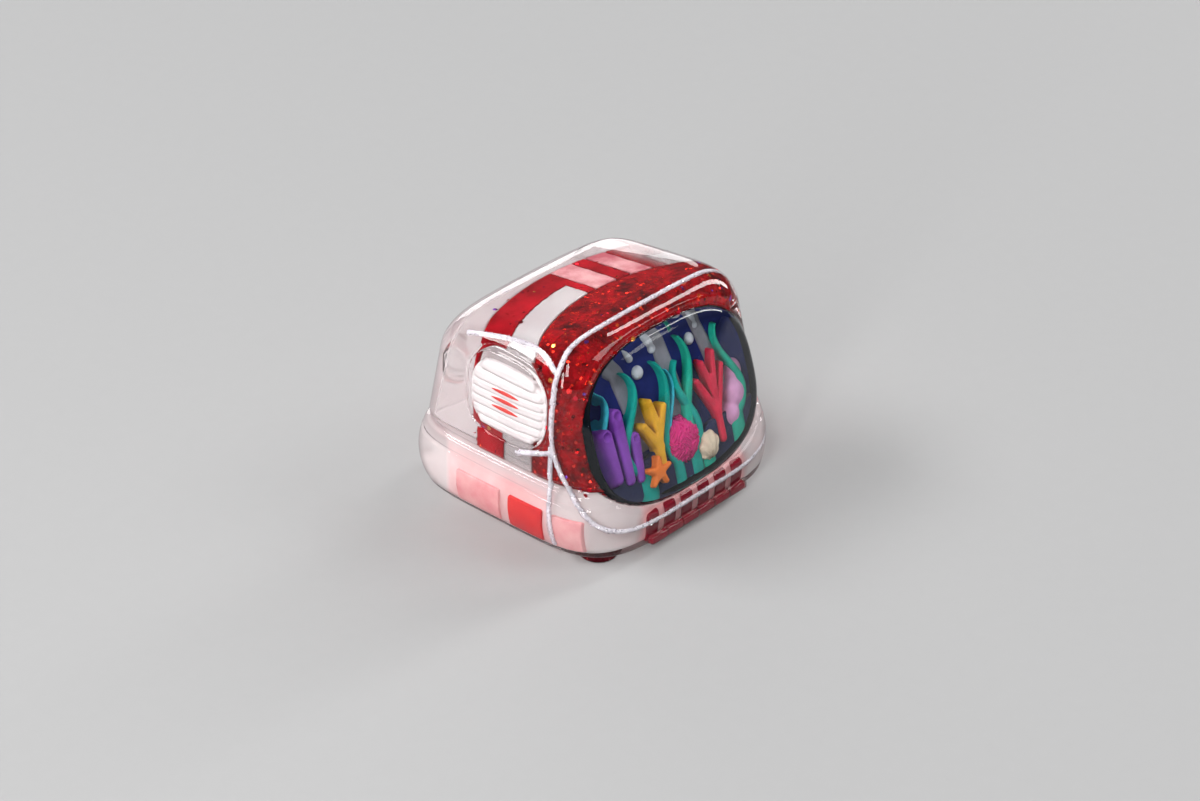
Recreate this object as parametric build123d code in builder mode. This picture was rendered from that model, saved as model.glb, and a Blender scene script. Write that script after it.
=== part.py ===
"""Artisan keycap: a clear cast-resin cap shaped as a small rounded television.

Millimetres, +Z up, the screen faces -Y, the origin lies under the middle of the cap on the surface it stands on.
Heights in this file are measured from the skirt's lower edge, which the feet lift off that surface.
"""

from build123d import *
import math
import os

# Outer form of the casting
CAP_WIDTH = 18.2
CAP_DEPTH = 17.6
FOOT_HEIGHT = 0.6
BUMPER_PROUD = 0.2
OUTLINE_FULLNESS = 0.96
LOW_INSET = 0.5
LOW_FRONT_INSET = 0.15
BELLY_HEIGHT = 1.9
SHOULDER_HEIGHT = 3.4
SHOULDER_INSET = 0.16
WAIST_HEIGHT = 4.5
WAIST_SIDE_INSET = 0.38
WAIST_FRONT_INSET = 0.6
WAIST_BACK_INSET = 0.7
SIDE_LEAN = 2.95
FRONT_LEAN = 15.0
BACK_LEAN = 13.1
CROWN_HEIGHT = 12.9
CROWN_SLOPE = 6.0
CROWN_ROUND = 2.4
CROWN_STEPS = 5
CLEAR_WALL = 0.9

# Front bumper bar
BUMPER_WIDTH = 8.8
BUMPER_LOW = 0.12
BUMPER_TALL = 0.54
BUMPER_ROUND = 0.2

# Screen: dark tray, clear dome and the flare of the bezel round it
SCREEN_WIDTH = 14.74
SCREEN_TALL = 10.4
SCREEN_FULLNESS = 0.76
SCREEN_HEIGHT = 7.28
SCREEN_SETBACK = 2.0
SCREEN_TILT = 17.5
TRAY_DEPTH = 2.2
TRAY_WALL = 0.4
TRAY_FLOOR = 0.4
DOME_EDGE = 0.2
DOME_RISE = 0.95
DOME_ROUND = 0.3
BEZEL_FLARE = 0.75
BEZEL_DEPTH = 1.5
REEF_CLEARANCE = 0.05

# Coloured pours inside the clear wall
BASE_POUR = 4.3
BOWL_RADIUS = 13.0
BOWL_SETBACK = 8.65
HOOP_THICK = 0.6
COLLAR_WIDTH = 0.5
COLLAR_DROP = 0.25
COLLAR_WALL = 0.4
PEARL_HOOP_WIDTH = 1.9
PEARL_BREAK = (-0.3, 5.6)
RED_HOOP_WIDTH = 2.0
ROSE_PATCHES = ((0.4, 2.1), (3.2, 4.6))

# White glitter piping let into the skin, each line as places back from the front and up from the skirt's edge
PIPING_PROUD = 0.05
PIPING_DEEP = 0.3
PIPING_WIDTH = 0.35
HOOP_LINE = (
    (5.25, 16.0),
    (4.85, 12.9),
    (4.55, 12.1),
    (4.5, 10.5),
    (4.55, 8.4),
    (4.4, 6.9),
    (3.85, 5.6),
    (2.9, 4.2),
    (1.8, 2.9),
    (0.7, 1.9),
    (-0.6, 1.0),
)
BRANCH_LINE = ((4.5, 7.0), (4.4, 4.0), (3.9, 0.6))
SHOULDER_LINE = ((4.55, 11.65), (5.5, 12.2), (6.6, 12.4), (8.6, 12.2), (10.8, 11.8), (12.0, 11.5))
LOWER_LINE = ((4.45, 6.6), (7.1, 5.6))

# Side windows with their louvred panels
WINDOW_LENGTH = 6.3
WINDOW_TALL = 5.6
WINDOW_FULLNESS = 0.82
WINDOW_FORWARD = 0.65
WINDOW_HEIGHT = 8.95
WINDOW_PROUD = 0.4
VENT_MARGIN = 0.45
VENT_THICK = 0.45
RIB_COUNT = 6
RIB_PITCH = 0.7
RIB_GROOVE = 0.2
INLAY_COUNT = 3
INLAY_LENGTH = 2.2
INLAY_TALL = 0.22

# Bars and blocks round the base
BAR_COUNT = 6
BAR_PITCH = 1.55
BAR_WIDTH = 0.95
BAR_LOW = 0.2
BAR_TALL = 1.8
BAR_WALL = 0.35
BAR_THICK = 0.6
BLOCK_LOW = 0.45
BLOCK_TALL = 2.1
RED_BLOCK_FORWARD = 2.4
RED_BLOCK_LENGTH = 2.7
ROSE_BLOCK_FORWARD = 5.4
ROSE_BLOCK_LENGTH = 2.0
ROSE_STRIP_BACK = 1.5
ROSE_STRIP_LENGTH = 3.6

# Underside: recess, cross-slot stem and feet
RECESS_WIDTH = 12.6
RECESS_DEPTH = 10.8
RECESS_TALL = 3.9
RECESS_ROUND = 1.5
STEM_RADIUS = 2.8
STEM_SETBACK = 0.3
SLOT_LENGTH = 4.1
SLOT_WIDTH = 1.3
SLOT_CROSS_WIDTH = 1.15
SLOT_DEEP = 3.4
STEM_EDGE = 0.12
FOOT_RADIUS = 1.2
FOOT_ROUND = 0.2
FOOT_SPREAD_X = 6.3
FOOT_SPREAD_Y = 6.1

# Relief in the screen: places lie across and up from its middle, heights above the tray's floor
STAR_PLACE = (-2.5, -3.3)
STAR_REACH = 1.0
STAR_WAIST = 0.45
STAR_TURN = 12.0
STAR_RELIEF = 1.5
STAR_EDGE = 0.12
SHELL_PLACE = (2.0, -3.5)
SHELL_RADIUS = 0.9
SHELL_RELIEF = 1.5
SHELL_GROOVES = 5
SHELL_GROOVE_WIDTH = 0.1
SHELL_GROOVE_DEEP = 0.15
SHELL_SPREAD = 28.0
BRAIN_PLACE = (0.1, -2.4)
BRAIN_RADIUS = 1.5
FAN_WIDTH = 0.42
FAN_RELIEF = 1.2
FAN_BRANCHES = (
    ((3.3, -3.6), (3.3, 0.4)),
    ((3.3, -1.9), (2.1, 0.5)),
    ((3.3, -1.9), (4.4, 0.7)),
    ((3.3, -0.7), (2.8, 1.4)),
    ((3.3, -0.7), (3.9, 1.7)),
)
STAGHORN_WIDTH = 0.5
STAGHORN_RELIEF = 1.3
STAGHORN_BRANCHES = (
    ((-2.0, -3.2), (-1.8, -0.6)),
    ((-1.9, -1.9), (-2.8, -0.3)),
    ((-1.85, -1.4), (-1.0, 0.3)),
    ((-1.8, -0.6), (-2.0, 0.9)),
)
TUBE_RELIEF = 1.1
TUBE_MOUTH = 0.6
TUBE_MOUTH_DEEP = 0.4
TUBES = (
    ((-5.4, -2.6), (-5.6, 0.2), 0.9),
    ((-4.5, -3.0), (-4.5, 1.1), 0.8),
    ((-3.7, -3.2), (-3.5, -0.7), 0.7),
)
SPONGE_BALLS = ((5.3, -1.5, 1.1), (4.7, -2.6, 1.0), (5.6, -0.3, 0.8))
WEED_RELIEF = 0.9
TEAL_WIDTH = 0.55
TEAL_BLADES = (
    ((-0.6, -3.4), (-0.9, -0.8), (-0.2, 1.2), (-0.7, 2.9)),
    ((0.9, -3.4), (1.3, -0.9), (0.6, 1.0), (1.0, 2.3)),
    ((-3.1, -3.2), (-3.5, 0.2), (-2.7, 1.6), (-3.2, 3.2)),
)
TALL_WIDTH = 0.6
TALL_BLADES = (
    ((4.9, -2.8), (5.2, 0.6), (4.6, 2.0), (4.9, 3.1)),
    ((1.9, -3.4), (1.5, 0.4), (2.0, 1.8), (1.6, 3.6)),
)
CYAN_WIDTH = 0.4
CYAN_RELIEF = 0.7
CYAN_BLADES = (
    ((-5.0, -3.0), (-5.2, 0.8), (-4.8, 1.8), (-5.2, 2.7)),
    ((0.2, -3.4), (0.1, 0.2), (0.4, 1.3), (0.1, 2.1)),
)
BUBBLES = ((-0.2, 3.5, 0.3), (-1.7, 2.6, 0.42), (-2.0, 3.6, 0.26), (2.8, 2.9, 0.38), (3.5, 3.5, 0.26))
BED_RELIEF = 0.7
BED_LINE = ((-8.0, -2.1), (-4.6, -2.5), (-1.6, -2.0), (1.4, -2.6), (4.4, -2.0), (8.0, -2.4))
RAY_RELIEF = 0.15
RAYS = (
    ((-4.4, 6.0), (-3.5, 6.0), (-1.2, -2.0), (-3.0, -2.0)),
    ((-0.3, 6.0), (0.6, 6.0), (1.7, -2.0), (0.0, -2.0)),
    ((2.6, 6.0), (3.4, 6.0), (5.6, -1.0), (4.2, -1.4)),
)

LEFT, RIGHT = -1, 1
FAR = 40.0

half_width = CAP_WIDTH / 2
back_reach = CAP_DEPTH / 2
front_reach = CAP_DEPTH / 2 - BUMPER_PROUD
screen_plane = Plane(
    origin=(0, SCREEN_SETBACK - front_reach, FOOT_HEIGHT + SCREEN_HEIGHT),
    x_dir=(1, 0, 0),
    z_dir=(0, -math.cos(math.radians(SCREEN_TILT)), math.sin(math.radians(SCREEN_TILT))),
)
tray_back_plane = screen_plane.offset(-TRAY_DEPTH)
reef_plane = screen_plane.offset(TRAY_FLOOR - TRAY_DEPTH)
reef_depth = TRAY_DEPTH - TRAY_FLOOR


def squircle(width, height, fullness, centre=(0.0, 0.0)):
    """Draw a rounded square with bowed sides as a face of the sketch at hand, one curve for each quarter."""
    across, up = width / 2, height / 2
    with BuildLine() as outline:
        for side, rise in ((1, 1), (-1, 1), (-1, -1), (1, -1)):
            Bezier(
                (centre[0] + side * across, centre[1]),
                (centre[0] + side * across, centre[1] + rise * up * fullness),
                (centre[0] + side * across * fullness, centre[1] + rise * up),
                (centre[0], centre[1] + rise * up),
            )
    make_face(outline.edges())


def cabinet_reach(height):
    """Half width, front and back of the leaning cabinet at a height above the skirt's lower edge."""
    climb = height - WAIST_HEIGHT
    return (
        half_width - WAIST_SIDE_INSET - climb * math.tan(math.radians(SIDE_LEAN)),
        front_reach - WAIST_FRONT_INSET - climb * math.tan(math.radians(FRONT_LEAN)),
        back_reach - WAIST_BACK_INSET - climb * math.tan(math.radians(BACK_LEAN)),
    )


def skirt_reach(side_inset, front_inset, back_inset):
    """Half width, front and back of the skirt where it is drawn in by the given amounts."""
    return half_width - side_inset, front_reach - front_inset, back_reach - back_inset


def plan_face(reach, inset):
    """Draw one level of the plan, drawn in all round by an inset."""
    side, front, back = reach
    squircle(2 * (side - inset), front + back - 2 * inset, OUTLINE_FULLNESS, (0, (back - front) / 2))


def crown_plane(height):
    """The plane of one level of the crown, which slopes down towards the back."""
    tilt = math.radians(CROWN_SLOPE)
    return Plane(
        origin=(0, 0, FOOT_HEIGHT + height),
        x_dir=(1, 0, 0),
        z_dir=(0, math.sin(tilt), math.cos(tilt)),
    )


def cap_form(inset):
    """The cap's outer form drawn in by an inset: a bellied skirt, a leaning cabinet and a sloping, rounded crown."""
    crown_round = CROWN_ROUND - inset
    crown_start = CROWN_HEIGHT - CROWN_ROUND
    skirt_levels = (
        (0.0, skirt_reach(LOW_INSET, LOW_FRONT_INSET, LOW_INSET)),
        (BELLY_HEIGHT, skirt_reach(0.0, 0.0, 0.0)),
        (SHOULDER_HEIGHT, skirt_reach(SHOULDER_INSET, SHOULDER_INSET, SHOULDER_INSET)),
        (WAIST_HEIGHT, cabinet_reach(WAIST_HEIGHT)),
    )
    with BuildPart() as form:
        for height, reach in skirt_levels:
            with BuildSketch(Plane.XY.offset(FOOT_HEIGHT + height)):
                plan_face(reach, inset)
        loft()
        with BuildSketch(Plane.XY.offset(FOOT_HEIGHT + WAIST_HEIGHT)):
            plan_face(cabinet_reach(WAIST_HEIGHT), inset)
        with BuildSketch(crown_plane(crown_start)):
            plan_face(cabinet_reach(crown_start), inset)
        loft(ruled=True)
        for step in range(CROWN_STEPS + 1):
            turn = math.pi / 2 * step / CROWN_STEPS
            height = crown_start + crown_round * math.sin(turn)
            with BuildSketch(crown_plane(height)):
                plan_face(cabinet_reach(height), inset + crown_round * (1 - math.cos(turn)))
        loft()
    return form.part


def above_base(low, high):
    """A wide slab between two heights above the skirt's lower edge, to keep one storey of a form."""
    with BuildPart() as slab:
        with BuildSketch(Plane.XY.offset(FOOT_HEIGHT + low)):
            Rectangle(FAR, FAR)
        extrude(amount=high - low)
    return slab.part


def upright_drum(radius):
    """A drum on a vertical axis behind which the bowed pours begin, its rear line set back from the screen."""
    with BuildPart() as drum:
        with BuildSketch(Plane.XY):
            with Locations((0, BOWL_SETBACK - front_reach - BOWL_RADIUS)):
                Circle(radius)
        extrude(amount=FAR)
    return drum.part


def screen_prism(margin, plane, reach):
    """A prism of the screen's outline, drawn out by a margin, from a plane towards the viewer."""
    with BuildPart() as prism:
        with BuildSketch(plane):
            squircle(SCREEN_WIDTH + 2 * margin, SCREEN_TALL + 2 * margin, SCREEN_FULLNESS)
        extrude(amount=reach)
    return prism.part


def side_prism(side, length, height, low, high):
    """A prism of the side window's outline along X, between two distances from the cap's middle."""
    with BuildPart() as prism:
        plane = Plane(
            origin=(side * low, -WINDOW_FORWARD, FOOT_HEIGHT + WINDOW_HEIGHT),
            x_dir=(0, 1, 0),
            z_dir=(side, 0, 0),
        )
        with BuildSketch(plane):
            squircle(length, height, WINDOW_FULLNESS)
        extrude(amount=high - low)
    return prism.part


def side_window(side):
    """A low clear lens on one side of the cabinet, a slice of a large ball within the window's outline."""
    window_radius = ((WINDOW_LENGTH / 2) ** 2 + WINDOW_PROUD**2) / (2 * WINDOW_PROUD)
    ball_middle = cabinet_reach(WINDOW_HEIGHT)[0] + WINDOW_PROUD - window_radius
    with BuildPart() as window:
        add(side_prism(side, WINDOW_LENGTH, WINDOW_TALL, half_width / 2, CAP_WIDTH))
        with Locations((side * ball_middle, -WINDOW_FORWARD, FOOT_HEIGHT + WINDOW_HEIGHT)):
            Sphere(window_radius, mode=Mode.INTERSECT)
    return window.part


outer_form = cap_form(0.0)
fill_form = cap_form(CLEAR_WALL)
core_form = cap_form(CLEAR_WALL + HOOP_THICK)
vent_form = cap_form(CLEAR_WALL + VENT_THICK)
skin_outer = cap_form(-PIPING_PROUD)
skin_inner = cap_form(PIPING_DEEP)
bar_outer = cap_form(BAR_WALL)
bar_inner = cap_form(BAR_WALL + BAR_THICK)
upper_storey = above_base(BASE_POUR, 2 * CROWN_HEIGHT)
base_storey = above_base(0.0, BASE_POUR)
tray_prism = screen_prism(0.0, tray_back_plane, FAR)
reef_room = screen_prism(-TRAY_WALL - REEF_CLEARANCE, reef_plane, reef_depth - REEF_CLEARANCE)
reef = []
finished = []


def finish(builder, label):
    """Name a finished piece and keep it for export."""
    builder.part.label = label
    finished.append(builder.part)


def reef_point(across, up, lift=0.0):
    """A place on the tray's floor, with the piece's own axes turned to face out of the screen."""
    return reef_plane.location * Location((across, up, lift))


def stroke(start, end, width):
    """Draw a round-ended bar between two places of the sketch at hand."""
    with Locations(((start[0] + end[0]) / 2, (start[1] + end[1]) / 2)):
        turn = math.degrees(math.atan2(end[1] - start[1], end[0] - start[0]))
        SlotCenterToCenter(math.dist(start, end), width, rotation=turn)


def strips(lines, width):
    """Draw strips of one width along lines of places, as faces of the sketch at hand."""
    for line in lines:
        with BuildLine(mode=Mode.PRIVATE) as spine:
            Spline(*line)
        trace(spine.edges(), line_width=width)


def from_front(line):
    """Places of a piping line, given back from the front and up from the skirt, on the plane that the sides show."""
    return [(back - front_reach, FOOT_HEIGHT + up) for back, up in line]


def settle_in_reef(builder, label):
    """Keep a piece of the relief inside the tray and clear of the pieces in front of it."""
    with BuildPart() as settled:
        add(builder.part)
        add(reef_room, mode=Mode.INTERSECT)
        for earlier in reef:
            add(earlier, mode=Mode.SUBTRACT)
    reef.append(settled.part)
    finish(settled, label)


# White glitter piping: the hoop round the front frame lies on one curve seen from the side
with BuildPart() as frame_piping:
    add(skin_outer)
    add(skin_inner, mode=Mode.SUBTRACT)
    with BuildSketch(Plane.YZ):
        strips([from_front(HOOP_LINE)], PIPING_WIDTH)
    extrude(amount=CAP_WIDTH, both=True, mode=Mode.INTERSECT)
piping = [frame_piping.part]
finish(frame_piping, "frame_piping")

# Piping on each side: an upright branch, a line along the shoulder and a short line under the window
for side, name in ((LEFT, "left_piping"), (RIGHT, "right_piping")):
    with BuildPart() as side_piping:
        add(skin_outer)
        add(skin_inner, mode=Mode.SUBTRACT)
        with BuildSketch(Plane.YZ):
            strips([from_front(line) for line in (BRANCH_LINE, SHOULDER_LINE, LOWER_LINE)], PIPING_WIDTH)
        extrude(amount=side * CAP_WIDTH, mode=Mode.INTERSECT)
        add(frame_piping.part, mode=Mode.SUBTRACT)
    piping.append(side_piping.part)
    finish(side_piping, name)

# Louvred panel behind each side window, with red inlays between its ribs
vents = []
for side, name in ((LEFT, "left"), (RIGHT, "right")):
    with BuildPart() as panel:
        add(fill_form)
        add(vent_form, mode=Mode.SUBTRACT)
        vent_length = WINDOW_LENGTH - 2 * VENT_MARGIN
        vent_tall = WINDOW_TALL - 2 * VENT_MARGIN
        add(side_prism(side, vent_length, vent_tall, half_width / 2, half_width), mode=Mode.INTERSECT)
    with BuildPart() as inlays:
        add(panel.part)
        with BuildSketch(Plane.YZ):
            with Locations((-WINDOW_FORWARD, FOOT_HEIGHT + WINDOW_HEIGHT)):
                with GridLocations(0, RIB_PITCH, 1, INLAY_COUNT):
                    SlotOverall(INLAY_LENGTH, INLAY_TALL)
        extrude(amount=side * CAP_WIDTH, mode=Mode.INTERSECT)
    with BuildPart() as vent:
        add(panel.part)
        for rib in range(RIB_COUNT + 1):
            groove_height = WINDOW_HEIGHT + (rib - RIB_COUNT / 2) * RIB_PITCH
            face = cabinet_reach(groove_height)[0] - CLEAR_WALL
            with Locations((side * face, -WINDOW_FORWARD, FOOT_HEIGHT + groove_height)):
                Cylinder(RIB_GROOVE, WINDOW_LENGTH, rotation=(90, 0, 0), mode=Mode.SUBTRACT)
        add(inlays.part, mode=Mode.SUBTRACT)
    vents.append(panel.part)
    finish(vent, name + "_vent")
    finish(inlays, name + "_vent_inlays")

# Dark tray behind the screen
with BuildPart() as screen_tray:
    add(screen_prism(0.0, tray_back_plane, TRAY_DEPTH))
    add(screen_prism(-TRAY_WALL, reef_plane, reef_depth), mode=Mode.SUBTRACT)
finish(screen_tray, "screen_tray")

# Relief behind the screen, a small coral garden, the pieces nearest the viewer first
with BuildPart() as orange_star:
    tips = []
    for tip in range(10):
        reach = STAR_REACH if tip % 2 == 0 else STAR_REACH * STAR_WAIST
        turn = math.radians(STAR_TURN + 36 * tip)
        tips.append((STAR_PLACE[0] + reach * math.cos(turn), STAR_PLACE[1] + reach * math.sin(turn)))
    with BuildSketch(reef_plane):
        Polygon(*tips, align=None)
    extrude(amount=STAR_RELIEF)
    top_face = orange_star.faces().sort_by(Axis(reef_plane.origin, reef_plane.z_dir))[-1]
    chamfer(top_face.edges(), STAR_EDGE)
settle_in_reef(orange_star, "orange_star")

with BuildPart() as cream_shell:
    with Locations(reef_point(*SHELL_PLACE, SHELL_RELIEF - SHELL_RADIUS)):
        Sphere(SHELL_RADIUS)
    with BuildSketch(reef_plane):
        with Locations(SHELL_PLACE):
            Circle(SHELL_RADIUS)
    extrude(amount=SHELL_RELIEF - SHELL_RADIUS)
    with BuildSketch(reef_plane.offset(SHELL_RELIEF)):
        for groove in range(SHELL_GROOVES):
            turn = math.radians(90 + SHELL_SPREAD * (groove - (SHELL_GROOVES - 1) / 2))
            root = (SHELL_PLACE[0], SHELL_PLACE[1] - SHELL_RADIUS)
            reach = 2 * SHELL_RADIUS
            stroke(root, (root[0] + reach * math.cos(turn), root[1] + reach * math.sin(turn)), SHELL_GROOVE_WIDTH)
    extrude(amount=-SHELL_GROOVE_DEEP, mode=Mode.SUBTRACT)
settle_in_reef(cream_shell, "cream_shell")

with BuildPart() as brain_coral:
    with Locations(reef_point(*BRAIN_PLACE)):
        Sphere(BRAIN_RADIUS)
settle_in_reef(brain_coral, "brain_coral")

for label, branches, width, relief in (
    ("fan_coral", FAN_BRANCHES, FAN_WIDTH, FAN_RELIEF),
    ("staghorn_coral", STAGHORN_BRANCHES, STAGHORN_WIDTH, STAGHORN_RELIEF),
):
    with BuildPart() as coral:
        with BuildSketch(reef_plane):
            for start, end in branches:
                stroke(start, end, width)
        extrude(amount=relief)
    settle_in_reef(coral, label)

with BuildPart() as purple_tubes:
    with BuildSketch(reef_plane):
        for start, end, width in TUBES:
            stroke(start, end, width)
    extrude(amount=TUBE_RELIEF)
    with BuildSketch(reef_plane.offset(TUBE_RELIEF)):
        for start, end, width in TUBES:
            with Locations(end):
                Circle(width / 2 * TUBE_MOUTH)
    extrude(amount=-TUBE_MOUTH_DEEP, mode=Mode.SUBTRACT)
settle_in_reef(purple_tubes, "purple_tubes")

with BuildPart() as lilac_sponge:
    for across, up, radius in SPONGE_BALLS:
        with Locations(reef_point(across, up)):
            Sphere(radius)
settle_in_reef(lilac_sponge, "lilac_sponge")

for label, lines, width, relief in (
    ("teal_weed", TEAL_BLADES, TEAL_WIDTH, WEED_RELIEF),
    ("tall_weed", TALL_BLADES, TALL_WIDTH, WEED_RELIEF),
    ("cyan_weed", CYAN_BLADES, CYAN_WIDTH, CYAN_RELIEF),
):
    with BuildPart() as weed:
        with BuildSketch(reef_plane):
            strips(lines, width)
        extrude(amount=relief)
    settle_in_reef(weed, label)

with BuildPart() as bubbles:
    for across, up, radius in BUBBLES:
        with Locations(reef_point(across, up)):
            Sphere(radius)
settle_in_reef(bubbles, "bubbles")

with BuildPart() as sea_bed:
    with BuildSketch(reef_plane):
        with BuildLine():
            Spline(*BED_LINE)
            Polyline(BED_LINE[-1], (BED_LINE[-1][0], -SCREEN_TALL), (BED_LINE[0][0], -SCREEN_TALL), BED_LINE[0])
        make_face()
    extrude(amount=BED_RELIEF)
settle_in_reef(sea_bed, "sea_bed")

with BuildPart() as light_rays:
    with BuildSketch(reef_plane):
        for corners in RAYS:
            Polygon(*corners, align=None)
    extrude(amount=RAY_RELIEF)
settle_in_reef(light_rays, "light_rays")

# Clear dome over the tray, a slice of a large ball with a softened rim
with BuildPart() as screen_dome:
    dome_radius = ((SCREEN_WIDTH / 2) ** 2 + DOME_RISE**2) / (2 * DOME_RISE)
    add(screen_prism(0.0, screen_plane, DOME_EDGE + DOME_RISE))
    with Locations(screen_plane.offset(DOME_EDGE + DOME_RISE - dome_radius)):
        Sphere(dome_radius, mode=Mode.INTERSECT)
    fillet(screen_dome.faces().sort_by(SortBy.AREA)[-1].edges(), DOME_ROUND)
finish(screen_dome, "screen_dome")

# Red glitter bowl behind the tray, with a collar that comes up round the tray under the bezel
with BuildPart() as collar:
    add(screen_prism(COLLAR_WIDTH, tray_back_plane, TRAY_DEPTH - COLLAR_DROP))
    add(cap_form(COLLAR_WALL), mode=Mode.INTERSECT)
    add(upper_storey, mode=Mode.INTERSECT)
with BuildPart() as glitter_bowl:
    add(fill_form)
    add(upper_storey, mode=Mode.INTERSECT)
    add(upright_drum(BOWL_RADIUS), mode=Mode.INTERSECT)
    add(collar.part)
    add(tray_prism, mode=Mode.SUBTRACT)
    for panel in vents:
        add(panel, mode=Mode.SUBTRACT)
finish(glitter_bowl, "glitter_bowl")

# Pearl and red hoops under the clear wall behind the bowl, the red one with rose patches on the crown
with BuildPart() as hoop_band:
    add(fill_form)
    add(core_form, mode=Mode.SUBTRACT)
    add(upper_storey, mode=Mode.INTERSECT)
    add(upright_drum(BOWL_RADIUS + PEARL_HOOP_WIDTH + RED_HOOP_WIDTH), mode=Mode.INTERSECT)
    add(upright_drum(BOWL_RADIUS), mode=Mode.SUBTRACT)
    for panel in vents:
        add(panel, mode=Mode.SUBTRACT)
with BuildPart() as pearl_hoop:
    add(hoop_band.part)
    add(upright_drum(BOWL_RADIUS + PEARL_HOOP_WIDTH), mode=Mode.INTERSECT)
    with Locations((sum(PEARL_BREAK) / 2, 0, 0)):
        Box(PEARL_BREAK[1] - PEARL_BREAK[0], FAR, FAR, mode=Mode.SUBTRACT)
finish(pearl_hoop, "pearl_hoop")
with BuildPart() as rose_patches:
    add(hoop_band.part)
    with BuildSketch(crown_plane(CROWN_HEIGHT - CROWN_ROUND)):
        for start, end in ROSE_PATCHES:
            with Locations(((start + end) / 2, 0)):
                Rectangle(end - start, FAR)
    extrude(amount=FAR, mode=Mode.INTERSECT)
finish(rose_patches, "rose_patches")
with BuildPart() as red_hoop:
    add(hoop_band.part)
    add(pearl_hoop.part, mode=Mode.SUBTRACT)
    add(rose_patches.part, mode=Mode.SUBTRACT)
finish(red_hoop, "red_hoop")

# Milky core that fills the cabinet behind the bowl
with BuildPart() as milk_core:
    add(fill_form)
    add(upper_storey, mode=Mode.INTERSECT)
    add(upright_drum(BOWL_RADIUS), mode=Mode.SUBTRACT)
    for filled in [hoop_band.part] + vents:
        add(filled, mode=Mode.SUBTRACT)
finish(milk_core, "milk_core")

# Red bars across the front and back of the base
bar_groups = []
for name, toward in (("front_bars", -1), ("rear_bars", 1)):
    with BuildPart() as bars:
        add(bar_outer)
        add(bar_inner, mode=Mode.SUBTRACT)
        with BuildSketch(Plane.XZ):
            with Locations((0, FOOT_HEIGHT + BAR_LOW + BAR_TALL / 2)):
                with GridLocations(BAR_PITCH, 0, BAR_COUNT, 1):
                    Rectangle(BAR_WIDTH, BAR_TALL)
        extrude(amount=-toward * CAP_DEPTH, mode=Mode.INTERSECT)
    bar_groups.append(bars.part)
    finish(bars, name)

# Red and rose blocks along each side of the base
block_groups = []
for side, side_name in ((LEFT, "left"), (RIGHT, "right")):
    for name, places in (
        ("red_block", ((-RED_BLOCK_FORWARD, RED_BLOCK_LENGTH),)),
        (
            "rose_blocks",
            ((-ROSE_BLOCK_FORWARD, ROSE_BLOCK_LENGTH), (ROSE_STRIP_BACK, ROSE_STRIP_LENGTH)),
        ),
    ):
        with BuildPart() as blocks:
            add(bar_outer)
            add(bar_inner, mode=Mode.SUBTRACT)
            with BuildSketch(Plane.YZ):
                for place, length in places:
                    with Locations((place, FOOT_HEIGHT + BLOCK_LOW + BLOCK_TALL / 2)):
                        Rectangle(length, BLOCK_TALL)
            extrude(amount=side * CAP_WIDTH, mode=Mode.INTERSECT)
        block_groups.append(blocks.part)
        finish(blocks, side_name + "_" + name)

# Pink base pour with the recess of the underside
with BuildPart() as pink_base:
    add(fill_form)
    add(base_storey, mode=Mode.INTERSECT)
    add(tray_prism, mode=Mode.SUBTRACT)
    for filled in bar_groups + block_groups:
        add(filled, mode=Mode.SUBTRACT)
    with BuildSketch(Plane.XY.offset(FOOT_HEIGHT)):
        RectangleRounded(RECESS_WIDTH, RECESS_DEPTH, RECESS_ROUND)
    extrude(amount=RECESS_TALL, mode=Mode.SUBTRACT)
finish(pink_base, "pink_base")

# Stem post with its cross slot
with BuildPart() as stem_post:
    with BuildSketch(Plane.XY.offset(FOOT_HEIGHT + STEM_SETBACK)):
        Circle(STEM_RADIUS)
    extrude(amount=RECESS_TALL - STEM_SETBACK)
    with BuildSketch(Plane.XY.offset(FOOT_HEIGHT + STEM_SETBACK)):
        Rectangle(SLOT_LENGTH, SLOT_CROSS_WIDTH)
        Rectangle(SLOT_WIDTH, SLOT_LENGTH)
    extrude(amount=SLOT_DEEP, mode=Mode.SUBTRACT)
    chamfer(stem_post.faces().sort_by(Axis.Z)[0].edges(), STEM_EDGE)
finish(stem_post, "stem_post")

# Clear casting: skirt, cabinet, bumper bar and side windows in one piece round all the pours
with BuildPart() as bezel_flare:
    with BuildSketch(screen_plane):
        squircle(SCREEN_WIDTH, SCREEN_TALL, SCREEN_FULLNESS)
    with BuildSketch(screen_plane.offset(BEZEL_DEPTH)):
        squircle(SCREEN_WIDTH + 2 * BEZEL_FLARE, SCREEN_TALL + 2 * BEZEL_FLARE, SCREEN_FULLNESS)
    loft(ruled=True)
with BuildPart() as clear_body:
    add(outer_form)
    with BuildSketch(Plane.XY.offset(FOOT_HEIGHT + BUMPER_LOW)):
        with Locations((0, -CAP_DEPTH / 4)):
            RectangleRounded(BUMPER_WIDTH, CAP_DEPTH / 2, BUMPER_ROUND)
    extrude(amount=BUMPER_TALL)
    for side in (LEFT, RIGHT):
        add(side_window(side))
    add(fill_form, mode=Mode.SUBTRACT)
    add(tray_prism, mode=Mode.SUBTRACT)
    add(bezel_flare.part, mode=Mode.SUBTRACT)
    add(collar.part, mode=Mode.SUBTRACT)
    for strip in piping + bar_groups + block_groups:
        add(strip, mode=Mode.SUBTRACT)
finish(clear_body, "clear_body")

# Four small round feet under the corners
with BuildPart() as feet:
    with BuildSketch(Plane.XY):
        with GridLocations(2 * FOOT_SPREAD_X, 2 * FOOT_SPREAD_Y, 2, 2):
            Circle(FOOT_RADIUS)
    extrude(amount=FOOT_HEIGHT)
    fillet(feet.edges().group_by(Axis.Z)[0], FOOT_ROUND)
finish(feet, "feet")

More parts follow.
